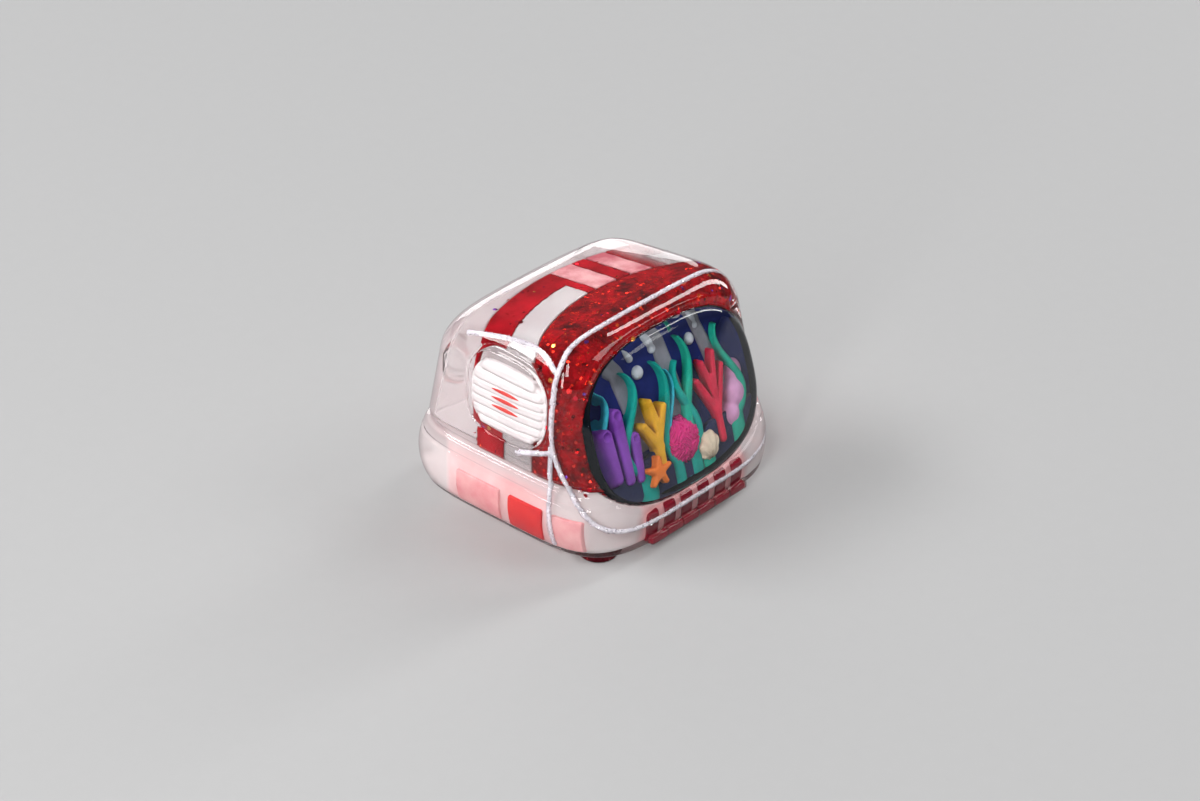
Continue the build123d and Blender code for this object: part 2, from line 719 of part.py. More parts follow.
os.makedirs("parts", exist_ok=True)
for piece in finished:
    export_step(piece, "parts/" + piece.label + ".step")
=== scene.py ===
"""Looks of the artisan keycap: a clear cast-resin cap shaped as a small rounded television.

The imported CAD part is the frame. Each visible piece is meshed from a distance field in millimetres, in the
part's own axes: +Z up, the screen faces -Y, the feet stand on Z = 0. A field is negative inside its shape.
"""

import sys

import logging
import math
from collections.abc import Callable, Iterable, Sequence
from dataclasses import dataclass
from enum import Enum
from functools import cache, reduce
from typing import Any, ClassVar

import bmesh
import bpy
import numpy as np
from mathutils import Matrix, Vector


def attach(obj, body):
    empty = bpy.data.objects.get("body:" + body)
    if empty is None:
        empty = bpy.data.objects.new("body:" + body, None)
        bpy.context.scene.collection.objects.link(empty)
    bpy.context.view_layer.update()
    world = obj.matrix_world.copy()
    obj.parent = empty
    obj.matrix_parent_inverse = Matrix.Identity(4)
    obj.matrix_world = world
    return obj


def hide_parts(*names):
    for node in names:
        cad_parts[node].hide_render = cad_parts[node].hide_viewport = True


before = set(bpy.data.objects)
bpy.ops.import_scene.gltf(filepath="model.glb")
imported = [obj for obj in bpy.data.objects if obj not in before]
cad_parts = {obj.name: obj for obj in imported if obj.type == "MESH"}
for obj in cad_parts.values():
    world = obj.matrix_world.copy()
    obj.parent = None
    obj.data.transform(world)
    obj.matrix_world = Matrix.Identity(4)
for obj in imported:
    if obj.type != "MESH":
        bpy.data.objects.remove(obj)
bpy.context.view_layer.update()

LOG = logging.getLogger("keycap")
MM = 0.001
ROOT = "root"
HALVINGS = 44

# Meshing: passes that move points onto the surface, grid points worked out at a time, shares of a grid cell
PASSES = 2
GRID_CHUNK = 400000
RELAX_SHARE = 0.4
LONGEST_MOVE = 0.6
SLOPE_REACH = 0.1
NORMAL_REACH = 0.25

Array = np.ndarray
Field = Callable[[Array], Array]
Plan = Callable[[Array, Array], Array]
Colour = tuple[float, float, float]
Place = tuple[float, float]
Point = tuple[float, float, float]
Box = tuple[Point, Point]
Branch = tuple[Place, Place]
Piece = bpy.types.Object
Node = bpy.types.Node
NodeTree = bpy.types.NodeTree
Socket = bpy.types.NodeSocket


class Side(Enum):
    """The two sides of the cap, as signs of X."""

    LEFT = -1
    RIGHT = 1

    @property
    def word(self) -> str:
        """The side's name as the CAD nodes spell it."""
        return self.name.lower()


# Distance fields


def meet(first: Array, second: Array, radius: float = 0.0) -> Array:
    """Keep what lies in both shapes, with a round on the edge where they end.

    Args:
        first: Distances of one shape.
        second: Distances of the other shape.
        radius: Radius of the round, in millimetres.

    Returns:
        Distances of the common shape.
    """
    if radius <= 0.0:
        return np.maximum(first, second)
    rim = np.hypot(np.maximum(first + radius, 0.0), np.maximum(second + radius, 0.0))
    return np.minimum(np.maximum(first, second), -radius) + rim


def join(first: Array, second: Array, radius: float = 0.0) -> Array:
    """Put two shapes together, with a fillet of the given radius where they meet."""
    return -meet(-first, -second, radius)


def together(shapes: Iterable[Array], radius: float = 0.0) -> Array:
    """Put several shapes together, with fillets of the given radius where they meet."""
    return reduce(lambda first, second: join(first, second, radius), shapes)


def cut(first: Array, second: Array, radius: float = 0.0) -> Array:
    """Take the second shape out of the first, with a round on the new edge."""
    return meet(first, -second, radius)


def bowed_outline(x: Array, y: Array, across: float, up: float, power: float) -> Array:
    """Distance outside a rounded outline with bowed sides, centred on the origin.

    Args:
        x: Coordinates across the outline.
        y: Coordinates up the outline.
        across: Half of the outline's width, one value or one for each point.
        up: Half of the outline's height, one value or one for each point.
        power: How square the outline is; 2 is an ellipse.

    Returns:
        Distances, negative inside.
    """
    share_x = np.abs(x) / across
    share_y = np.abs(y) / up
    reach = np.maximum(share_x**power + share_y**power, 1e-9) ** (1.0 / power)
    slope = np.hypot(share_x ** (power - 1.0) / across, share_y ** (power - 1.0) / up)
    return (reach - 1.0) * reach ** (power - 1.0) / np.maximum(slope, 1e-12)


def round_box(x: Array, y: Array, across: float, up: float, radius: float) -> Array:
    """Distance outside a rectangle with round corners, given its half sizes."""
    over_x = np.abs(x) - across + radius
    over_y = np.abs(y) - up + radius
    outside = np.hypot(np.maximum(over_x, 0.0), np.maximum(over_y, 0.0))
    return outside + np.minimum(np.maximum(over_x, over_y), 0.0) - radius


def from_line(x: Array, y: Array, start: Place, end: Place) -> tuple[Array, Array]:
    """Distance from a straight line between two places.

    Args:
        x: Coordinates across.
        y: Coordinates up.
        start: First end of the line.
        end: Other end of the line.

    Returns:
        The distance of each point and its share of the way along the line, from 0 to 1.
    """
    run_x, run_y = end[0] - start[0], end[1] - start[1]
    along = ((x - start[0]) * run_x + (y - start[1]) * run_y) / (run_x**2 + run_y**2)
    along = np.clip(along, 0.0, 1.0)
    return np.hypot(x - start[0] - along * run_x, y - start[1] - along * run_y), along


def between(value: Array, low: float, high: float) -> Array:
    """Distance outside the slab between two values."""
    return np.maximum(low - value, value - high)


def spaced(count: int, pitch: float) -> list[float]:
    """Middles of an even row of things about zero."""
    return [(number - (count - 1) / 2) * pitch for number in range(count)]


def way_out(outside: Callable[[Array], Array], count: int, far: float) -> Array:
    """How far lines run before they leave a shape, found by halving.

    Args:
        outside: Tells for a reach on each line whether it lies outside.
        count: Number of lines.
        far: A reach that lies outside on every line.

    Returns:
        One reach for each line.
    """
    low, high = np.zeros(count), np.full(count, far)
    for _ in range(HALVINGS):
        middle = (low + high) / 2
        left = outside(middle)
        low, high = np.where(left, low, middle), np.where(left, middle, high)
    return low


# Forms that several pieces share


@dataclass(frozen=True)
class CapForm:
    """Outer form of the casting: a bellied skirt, a leaning cabinet and a sloping, rounded crown."""

    half_width: float = 9.1
    front: float = 8.6
    back: float = 8.8
    lift: float = 0.6
    skirt_heights: tuple[float, ...] = (0.0, 1.9, 3.4, 4.5)
    side_insets: tuple[float, ...] = (0.5, 0.0, 0.16, 0.38)
    front_insets: tuple[float, ...] = (0.15, 0.0, 0.16, 0.6)
    back_insets: tuple[float, ...] = (0.5, 0.0, 0.16, 0.7)
    side_lean: float = 2.95
    front_lean: float = 15.0
    back_lean: float = 13.1
    waist_round: float = 0.1
    crown_height: float = 12.9
    crown_slope: float = 6.0
    crown_round: float = 2.4
    crown_bow: float = 0.004
    hem_round: float = 0.3
    squareness: float = 4.6

    def inset(self, height: Array, insets: tuple[float, ...], lean: float) -> Array:
        """How far one wall is drawn in at each height.

        Args:
            height: Heights above the skirt's lower edge.
            insets: The wall's insets at the skirt's four levels.
            lean: The wall's lean above the waist, in degrees.

        Returns:
            Insets, with the crease at the waist softened.
        """
        curve = np.polyfit(self.skirt_heights, insets, 3)
        waist = self.skirt_heights[-1]
        drawn = np.zeros_like(height)
        for shift, weight in ((-self.waist_round, 0.25), (0.0, 0.5), (self.waist_round, 0.25)):
            level = np.clip(height + shift, 0.0, None)
            skirt = np.polyval(curve, np.minimum(level, waist))
            drawn += weight * (skirt + np.maximum(level - waist, 0.0) * math.tan(math.radians(lean)))
        return drawn

    def side(self, height: Array) -> Array:
        """How far out both side walls stand at each height."""
        return self.half_width - self.inset(height, self.side_insets, self.side_lean)

    def rear(self, height: Array) -> Array:
        """How far back the rear wall stands at each height."""
        return self.back - self.inset(height, self.back_insets, self.back_lean)

    def walls(self, p: Array) -> Array:
        """Distance outside the form's walls and crown, which leave its lower side open."""
        x, y, z = p.T
        height = z - self.lift
        front = self.front - self.inset(height, self.front_insets, self.front_lean)
        back = self.rear(height)
        middle, half = (back - front) / 2, (front + back) / 2
        plan = bowed_outline(x, y - middle, self.side(height), half, self.squareness)
        tilt = math.radians(self.crown_slope)
        crown = (height - self.crown_height) * math.cos(tilt) + y * math.sin(tilt)
        crown += self.crown_bow * x**2
        return meet(plan, crown, self.crown_round)

    def field(self, p: Array) -> Array:
        """Distance outside the whole form."""
        return meet(self.walls(p), self.lift - p[:, 2], self.hem_round)


@dataclass(frozen=True)
class ScreenPlace:
    """Place and outline of the screen: a bowed rectangle that leans back with the front of the cabinet."""

    width: float = 14.74
    tall: float = 10.4
    squareness: float = 2.86
    forward: float = 6.6
    height: float = 7.88
    tilt: float = 17.5
    tray_gap: float = 0.03
    tray_room_deep: float = 2.25

    def local(self, p: Array) -> tuple[Array, Array, Array]:
        """Coordinates across the screen, up it and out of it."""
        lean = math.radians(self.tilt)
        y, z = p[:, 1] + self.forward, p[:, 2] - self.height
        return p[:, 0], y * math.sin(lean) + z * math.cos(lean), z * math.sin(lean) - y * math.cos(lean)

    def outline(self, u: Array, v: Array) -> Array:
        """Distance outside the screen's outline."""
        return bowed_outline(u, v, self.width / 2, self.tall / 2, self.squareness)

    def edge(self, p: Array) -> tuple[Array, Array]:
        """Distance outside the screen's outline, and the coordinate out of the screen."""
        u, v, w = self.local(p)
        return self.outline(u, v), w

    def tray_room(self, p: Array) -> Array:
        """Distance outside the room that the pours leave for the tray."""
        edge, w = self.edge(p)
        return np.maximum(edge - self.tray_gap, -w - self.tray_room_deep)


# Meshes


def field_slope(shape: Field, p: Array, reach: float) -> Array:
    """Slope of a field at each point, by differences over a short reach."""
    slope = np.empty_like(p)
    for axis in range(3):
        shift = np.zeros(3)
        shift[axis] = reach
        slope[:, axis] = (shape(p + shift) - shape(p - shift)) / (2 * reach)
    return slope


def onto_surface(shape: Field, p: Array, step: float) -> Array:
    """Move points onto the surface of a shape along its slope."""
    for _ in range(PASSES):
        slope = field_slope(shape, p, SLOPE_REACH * step)
        move = slope * (shape(p) / np.maximum((slope**2).sum(1), 1e-6))[:, None]
        p = p - np.clip(move, -LONGEST_MOVE * step, LONGEST_MOVE * step)
    return p


def surface_net(shape: Field, box: Box, step: float) -> tuple[Array, Array]:
    """Quads over the surface of a shape, one vertex in each grid cell that the surface crosses.

    Args:
        shape: Distance field of the shape.
        box: Lowest and highest corner of the grid, outside the shape.
        step: Width of a grid cell.

    Returns:
        Vertices and quads, the quads pointing outwards.
    """
    axes = [np.arange(first, last + step, step) for first, last in zip(*box)]
    count = np.array([len(axis) for axis in axes])
    grid = np.stack(np.meshgrid(*axes, indexing="ij"), -1).reshape(-1, 3)
    chunks = np.array_split(grid, max(1, len(grid) // GRID_CHUNK))
    values = np.concatenate([shape(part) for part in chunks]).reshape(count)
    cells = count - 1
    total = np.zeros((cells.prod(), 3))
    hits = np.zeros(cells.prod())
    quads = []
    for axis in range(3):
        first = np.moveaxis(values, axis, 0)[:-1]
        second = np.moveaxis(values, axis, 0)[1:]
        place = np.argwhere((first < 0) != (second < 0))
        before = first[tuple(place.T)]
        share = before / (before - second[tuple(place.T)])
        order = [axis] + [other for other in range(3) if other != axis]
        index = np.empty_like(place)
        index[:, order] = place
        crossing = np.array(box[0]) + step * index
        crossing[:, axis] += step * share
        around = []
        for over, up in ((0, 0), (1, 0), (1, 1), (0, 1)):
            cell = index.copy()
            cell[:, order[1]] -= over
            cell[:, order[2]] -= up
            inside = np.all((cell >= 0) & (cell < cells), axis=1)
            flat = np.ravel_multi_index(tuple(np.clip(cell, 0, cells - 1).T), tuple(cells))
            np.add.at(total, flat[inside], crossing[inside])
            np.add.at(hits, flat[inside], 1.0)
            around.append(np.where(inside, flat, -1))
        loop = np.stack(around, 1)
        turned = (before < 0) == (axis == 1)
        loop = np.where(turned[:, None], loop[:, ::-1], loop)
        quads.append(loop[np.all(loop >= 0, axis=1)])
    used = hits > 0
    number = np.cumsum(used) - 1
    return total[used] / hits[used][:, None], number[np.concatenate(quads)]


def relax(p: Array, quads: Array, share: float) -> Array:
    """Draw each vertex towards the mean of its neighbours by a share."""
    near = np.zeros_like(p)
    hits = np.zeros(len(p))
    for corner in range(4):
        for step in (1, 3):
            np.add.at(near, quads[:, corner], p[quads[:, (corner + step) % 4]])
            np.add.at(hits, quads[:, corner], 1.0)
    return p + share * (near / hits[:, None] - p)


def show(thing: Piece) -> None:
    """Link an object to the scene."""
    bpy.context.scene.collection.objects.link(thing)


def new_piece(name: str, p: Array, faces: Array) -> Piece:
    """A new object in the scene from vertices in millimetres.

    Args:
        name: Name of the piece.
        p: Vertices, in millimetres.
        faces: Faces, or edges where a row has two entries.

    Returns:
        The object, at the origin, with its place in its mesh.
    """
    mesh = bpy.data.meshes.new(name)
    edges, polygons = (faces.tolist(), []) if faces.shape[1] == 2 else ([], faces.tolist())
    mesh.from_pydata((p * MM).tolist(), edges, polygons)
    piece = bpy.data.objects.new(name, mesh)
    show(piece)
    return piece


def cast(name: str, shape: Field, box: Box, step: float) -> Piece:
    """Mesh a field into a smooth closed piece.

    Args:
        name: Name of the piece.
        shape: Distance field of the piece.
        box: Lowest and highest corner of a box round the piece.
        step: Width of a grid cell, which sets the mesh's fineness.

    Returns:
        The piece, shaded with the field's own normals.
    """
    p, quads = surface_net(shape, box, step)
    for _ in range(PASSES):
        p = onto_surface(shape, relax(p, quads, RELAX_SHARE), step)
    piece = new_piece(name + "_cast", p, quads)
    slope = field_slope(shape, p, NORMAL_REACH * step)
    normals = slope / np.maximum(np.linalg.norm(slope, axis=1), 1e-9)[:, None]
    piece.data.shade_smooth()
    piece.data.normals_split_custom_set_from_vertices(normals.tolist())
    return piece


def settle(piece: Piece, finish: "Finish", *nodes: str) -> None:
    """Dress a piece, let it ride on the part and stand for its CAD nodes.

    Args:
        piece: The piece.
        finish: Its finish.
        nodes: CAD nodes that it stands for.
    """
    piece.data.materials.clear()
    piece.data.materials.append(finish.material())
    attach(piece, ROOT)
    if nodes:
        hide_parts(*nodes)
    LOG.info("%s: %d faces", piece.name, len(piece.data.polygons))


# Node trees


class Graph:
    """Adds and links the nodes of one tree."""

    def __init__(self, tree: NodeTree) -> None:
        """Keep the tree that the nodes go into."""
        self.tree = tree

    def feed(self, node: Node, values: dict[Any, Any]) -> None:
        """Set a node's inputs, by name or number, to values, or link them to sockets or to other nodes."""
        for key, value in values.items():
            if isinstance(value, Node):
                value = value.outputs[0]
            if isinstance(value, Socket):
                self.tree.links.new(value, node.inputs[key])
            else:
                node.inputs[key].default_value = value

    def add(self, kind: str, values: dict[Any, Any] | None = None, **settings: Any) -> Node:
        """Add a node.

        Args:
            kind: Blender's name for the node type.
            values: A value, socket or node for each input, by name or number.
            settings: Properties of the node itself.

        Returns:
            The node.
        """
        node = self.tree.nodes.new(kind)
        for key, value in settings.items():
            setattr(node, key, value)
        self.feed(node, values or {})
        return node

    def math(self, operation: str, first: Any, second: Any = 0.0) -> Socket:
        """The result of a sum on two values or sockets."""
        return self.add("ShaderNodeMath", {0: first, 1: second}, operation=operation).outputs[0]

    def vector(self, operation: str, values: dict[Any, Any]) -> Socket:
        """The result of a sum on vectors."""
        return self.add("ShaderNodeVectorMath", values, operation=operation).outputs[0]

    def blend(self, share: Any, first: Any, second: Any) -> Socket:
        """A colour between two colours or sockets."""
        node = self.add("ShaderNodeMix", {"Factor": share, 6: first, 7: second}, data_type="RGBA")
        return node.outputs[2]

    def span(self, value: Any, low: float, high: float, start: float = 0.0, end: float = 1.0) -> Socket:
        """A value stretched from one range to another and kept inside it."""
        return self.add("ShaderNodeMapRange", {0: value, 1: low, 2: high, 3: start, 4: end}).outputs[0]

    def over(self, value: Any, reach: Place, ends: Place = (0.0, 1.0)) -> Socket:
        """A value that changes from one end value to the other over a reach in millimetres."""
        return self.span(value, reach[0] * MM, reach[1] * MM, *ends)

    def noise(self, where: Any, scale: Any, detail: float, roughness: float = 0.5) -> Socket:
        """Cloudy values from 0 to 1."""
        values = {"Vector": where, "Scale": scale, "Detail": detail, "Roughness": roughness}
        return self.add("ShaderNodeTexNoise", values).outputs[0]

    def bump(self, height: Any, distance: float, strength: float) -> Socket:
        """A normal that follows a height."""
        values = {"Height": height, "Distance": distance, "Strength": strength}
        return self.add("ShaderNodeBump", values).outputs[0]

    def slant(self, blend: float = 0.5) -> Socket:
        """How far a face turns away from the eye."""
        return self.add("ShaderNodeLayerWeight", {"Blend": blend}).outputs["Facing"]

    def place(self) -> Socket:
        """The place of each point on the part."""
        return self.add("ShaderNodeTexCoord").outputs["Object"]

    def axes(self) -> Sequence[Socket]:
        """The place of each point along the part's three axes."""
        return self.add("ShaderNodeSeparateXYZ", {0: self.place()}).outputs


def rgba(colour: Colour) -> tuple[float, float, float, float]:
    """A colour with full alpha, as sockets take it."""
    return (*colour, 1.0)


def new_group(
    name: str, kind: str, inputs: dict[str, str], outputs: dict[str, str]
) -> tuple[Graph, Any, Node]:
    """Start a node group with named sockets.

    Args:
        name: Name of the group.
        kind: Type of the tree.
        inputs: Kind of socket of each input, by name.
        outputs: Kind of socket of each output, by name.

    Returns:
        The group's graph, the sockets that give its inputs, and its output node.
    """
    tree = bpy.data.node_groups.new(name, kind)
    for way, sockets in (("INPUT", inputs), ("OUTPUT", outputs)):
        for label, socket in sockets.items():
            tree.interface.new_socket(label, in_out=way, socket_type="NodeSocket" + socket)
    graph = Graph(tree)
    return graph, graph.add("NodeGroupInput").outputs, graph.add("NodeGroupOutput")


class Effects:
    """Shader groups that several finishes share, each built when it is first asked for."""

    FLAKE_REACH: ClassVar[float] = 0.42
    CLOUD_RANGE: ClassVar[Place] = (-0.25, 0.25)

    @staticmethod
    @cache
    def mottle() -> NodeTree:
        """Cloudy variation between two colours, with a height for a bump."""
        graph, take, out = new_group(
            "Resin mottle",
            "ShaderNodeTree",
            {"Light": "Color", "Deep": "Color", "Scale": "Float", "Contrast": "Float"},
            {"Color": "Color", "Height": "Float"},
        )
        cloud = graph.noise(graph.place(), take["Scale"], detail=4.0, roughness=0.6)
        spread = graph.math("MULTIPLY", graph.math("SUBTRACT", cloud, 0.5), take["Contrast"])
        share = graph.span(spread, *Effects.CLOUD_RANGE)
        graph.feed(out, {"Color": graph.blend(share, take["Light"], take["Deep"]), "Height": cloud})
        return graph.tree

    @staticmethod
    @cache
    def flakes() -> NodeTree:
        """Small glitter flakes at random tilts: where they lie, how bright each is, and their normal."""
        graph, take, out = new_group(
            "Glitter flakes",
            "ShaderNodeTree",
            {"Scale": "Float", "Amount": "Float", "Tilt": "Float"},
            {"Mask": "Float", "Shade": "Float", "Normal": "Vector"},
        )
        cells = graph.add("ShaderNodeTexVoronoi", {"Vector": graph.place(), "Scale": take["Scale"]})
        parts = graph.add("ShaderNodeSeparateColor", {0: cells.outputs["Color"]})
        chosen = graph.math("LESS_THAN", parts.outputs[0], take["Amount"])
        middle = graph.math("LESS_THAN", cells.outputs["Distance"], Effects.FLAKE_REACH)
        centred = graph.vector("SUBTRACT", {0: cells.outputs["Color"], 1: (0.5, 0.5, 0.5)})
        lean = graph.vector("SCALE", {0: centred, "Scale": take["Tilt"]})
        facing = graph.add("ShaderNodeNewGeometry").outputs["Normal"]
        tilted = graph.vector("NORMALIZE", {0: graph.vector("ADD", {0: facing, 1: lean})})
        mask = graph.math("MULTIPLY", chosen, middle)
        graph.feed(out, {"Mask": mask, "Shade": parts.outputs[1], "Normal": tilted})
        return graph.tree

    @classmethod
    def cloud(cls, graph: Graph, light: Colour, deep: Colour, scale: float, contrast: float = 1.0) -> Node:
        """Add the mottle to a material.

        Args:
            graph: Graph of the material.
            light: The lighter tone.
            deep: The deeper tone.
            scale: Fineness of the clouds.
            contrast: How hard the tones part.

        Returns:
            The group's node.
        """
        values = {"Light": rgba(light), "Deep": rgba(deep), "Scale": scale, "Contrast": contrast}
        return graph.add("ShaderNodeGroup", values, node_tree=cls.mottle())


# Finishes


@dataclass(frozen=True)
class Finish:
    """A surface finish with a label and a material slot, made once as a material named by its label."""

    label: str
    slot: str

    def material(self) -> bpy.types.Material:
        """The finish as a material, made once."""
        made = bpy.data.materials.get(self.label)
        if made is None:
            made = bpy.data.materials.new(self.label)
            made.use_nodes = True
            nodes = made.node_tree.nodes
            self.dress(Graph(made.node_tree), nodes["Principled BSDF"], nodes["Material Output"])
        return made

    def dress(self, graph: Graph, shader: Node, out: Node) -> None:
        """Set up the finish's own nodes; each kind of finish has its own."""
        raise NotImplementedError


@dataclass(frozen=True)
class ClearResin(Finish):
    """Clear polished casting resin that lets lamps reach what is set inside it; where seen at a slant its
    colour darkens, a painted shade that draws dark outlines.
    """

    tint: Colour = (0.985, 0.975, 0.978)
    # Painted shade: the near-black colour that the resin takes over the slant range below, to draw dark
    # outlines along its edges
    edge_shade: Colour = (0.12, 0.07, 0.085)
    edge: Place = (0.6, 0.9)
    index: float = 1.46
    smudge: float = 0.012
    smudge_range: Place = (0.5, 0.75)
    smudge_scale: float = 260.0
    ripple: float = 0.000005
    ripple_scale: float = 180.0

    def dress(self, graph: Graph, shader: Node, out: Node) -> None:
        """A glassy surface with faint smudges and a slow ripple; shadow rays pass straight through."""
        # Painted shade: the resin darkens where its surface turns away from the eye, drawing dark outlines
        share = graph.span(graph.slant(), *self.edge)
        where = graph.place()
        smudges = graph.noise(where, self.smudge_scale, detail=5.0)
        slow = graph.noise(where, self.ripple_scale, detail=1.0)
        values = {
            "Base Color": graph.blend(share, rgba(self.tint), rgba(self.edge_shade)),
            "IOR": self.index,
            "Transmission Weight": 1.0,
            "Roughness": graph.span(smudges, *self.smudge_range, 0.0, self.smudge),
            "Normal": graph.bump(slow, self.ripple, strength=0.5),
        }
        graph.feed(shader, values)
        clear = graph.add("ShaderNodeBsdfTransparent", {"Color": rgba(self.tint)})
        lamps = graph.add("ShaderNodeLightPath").outputs["Is Shadow Ray"]
        mixed = graph.add("ShaderNodeMixShader", {0: lamps, 1: shader, 2: clear})
        graph.feed(out, {"Surface": mixed})


@dataclass(frozen=True)
class PouredResin(Finish):
    """A coloured pour set inside the clear resin, cloudy between a light and a deep tone."""

    light: Colour = (0.9, 0.9, 0.9)
    deep: Colour = (0.8, 0.8, 0.8)
    scale: float = 350.0
    contrast: float = 1.0
    roughness: float = 0.5
    shine: float = 0.05
    alpha: float = 1.0
    relief: float = 0.00005
    relief_strength: float = 0.3

    def dress(self, graph: Graph, shader: Node, out: Node) -> None:
        """Cloudy colour with a soft surface; a thin pour lets light through."""
        cloud = Effects.cloud(graph, self.light, self.deep, self.scale, self.contrast)
        values = {
            "Base Color": cloud.outputs["Color"],
            "Normal": graph.bump(cloud.outputs["Height"], self.relief, self.relief_strength),
            "Roughness": self.roughness,
            "Specular IOR Level": self.shine,
            "Alpha": self.alpha,
        }
        graph.feed(shader, values)


@dataclass(frozen=True)
class Glitter(Finish):
    """A finish of glitter that can end towards the right of the front."""

    front: ClassVar[Place] = (-5.2, -4.6)

    def end_at(self, graph: Graph, shader: Node, end: Place | None) -> None:
        """Let the glitter end over a reach to the right in front; behind the front it stays whole."""
        if end:
            x, y, _ = graph.axes()
            right = graph.over(x, end, (1.0, 0.0))
            graph.feed(shader, {"Alpha": graph.math("MAXIMUM", right, graph.over(y, self.front))})


@dataclass(frozen=True)
class GlitterResin(Glitter):
    """Resin full of fine glitter: a cloudy ground with flakes that catch the light at random tilts."""

    light: Colour = (0.5, 0.02, 0.03)
    deep: Colour = (0.1, 0.0, 0.01)
    flake: Colour = (0.9, 0.1, 0.06)
    scale: float = 700.0
    flake_scale: float = 4500.0
    amount: float = 0.35
    tilt: float = 0.9
    end: Place | None = None
    contrast: float = 1.4
    dimmest: float = 0.25
    metal: float = 0.85
    roughness: Place = (0.6, 0.22)
    shine: float = 0.05

    def dress(self, graph: Graph, shader: Node, out: Node) -> None:
        """Ground colour, and over it metallic flakes of their own tilt and brightness."""
        cloud = Effects.cloud(graph, self.light, self.deep, self.scale, self.contrast)
        values = {"Scale": self.flake_scale, "Amount": self.amount, "Tilt": self.tilt}
        grains = graph.add("ShaderNodeGroup", values, node_tree=Effects.flakes()).outputs
        shade = graph.span(grains["Shade"], 0.0, 1.0, self.dimmest, 1.0)
        glint = graph.blend(shade, rgba(self.light), rgba(self.flake))
        values = {
            "Base Color": graph.blend(grains["Mask"], cloud.outputs["Color"], glint),
            "Metallic": graph.math("MULTIPLY", grains["Mask"], self.metal),
            "Roughness": graph.span(grains["Mask"], 0.0, 1.0, *self.roughness),
            "Normal": grains["Normal"],
            "Specular IOR Level": self.shine,
        }
        graph.feed(shader, values)
        self.end_at(graph, shader, self.end)


@dataclass(frozen=True)
class FlakeFoil(Glitter):
    """Foil of loose glitter flakes, each of a colour picked from a few."""

    colours: tuple[Colour, ...] = ((0.9, 0.1, 0.05), (0.6, 0.02, 0.04))
    roughness: float = 0.16
    end: Place | None = None

    def dress(self, graph: Graph, shader: Node, out: Node) -> None:
        """Metal with one colour for each flake."""
        pick = graph.add("ShaderNodeNewGeometry").outputs["Random Per Island"]
        ramp = graph.add("ShaderNodeValToRGB", {0: pick})
        ramp.color_ramp.interpolation = "CONSTANT"
        stops = ramp.color_ramp.elements
        while len(stops) < len(self.colours):
            stops.new(0.5)
        for number, colour in enumerate(self.colours):
            stops[number].position = number / len(self.colours)
            stops[number].color = rgba(colour)
        graph.feed(shader, {"Base Color": ramp, "Metallic": 1.0, "Roughness": self.roughness})
        self.end_at(graph, shader, self.end)


@dataclass(frozen=True)
class PaintedClay(Finish):
    """Hand-painted modelling clay of the relief: brushed colour in two tones, with a fine tooth."""

    colour: Colour = (0.5, 0.5, 0.5)
    shade: float = 0.55
    brush_scale: float = 900.0
    contrast: float = 0.7
    tooth_scale: float = 4200.0
    tooth: float = 0.00004
    roughness: float = 0.6
    shine: float = 0.15

    def dress(self, graph: Graph, shader: Node, out: Node) -> None:
        """Brushed paint over a fine clay tooth."""
        deep = tuple(self.shade * part for part in self.colour)
        cloud = Effects.cloud(graph, self.colour, deep, self.brush_scale, self.contrast)
        tooth = graph.noise(graph.place(), self.tooth_scale, detail=3.0)
        values = {
            "Base Color": cloud.outputs["Color"],
            "Normal": graph.bump(tooth, self.tooth, strength=0.5),
            "Roughness": self.roughness,
            "Specular IOR Level": self.shine,
        }
        graph.feed(shader, values)


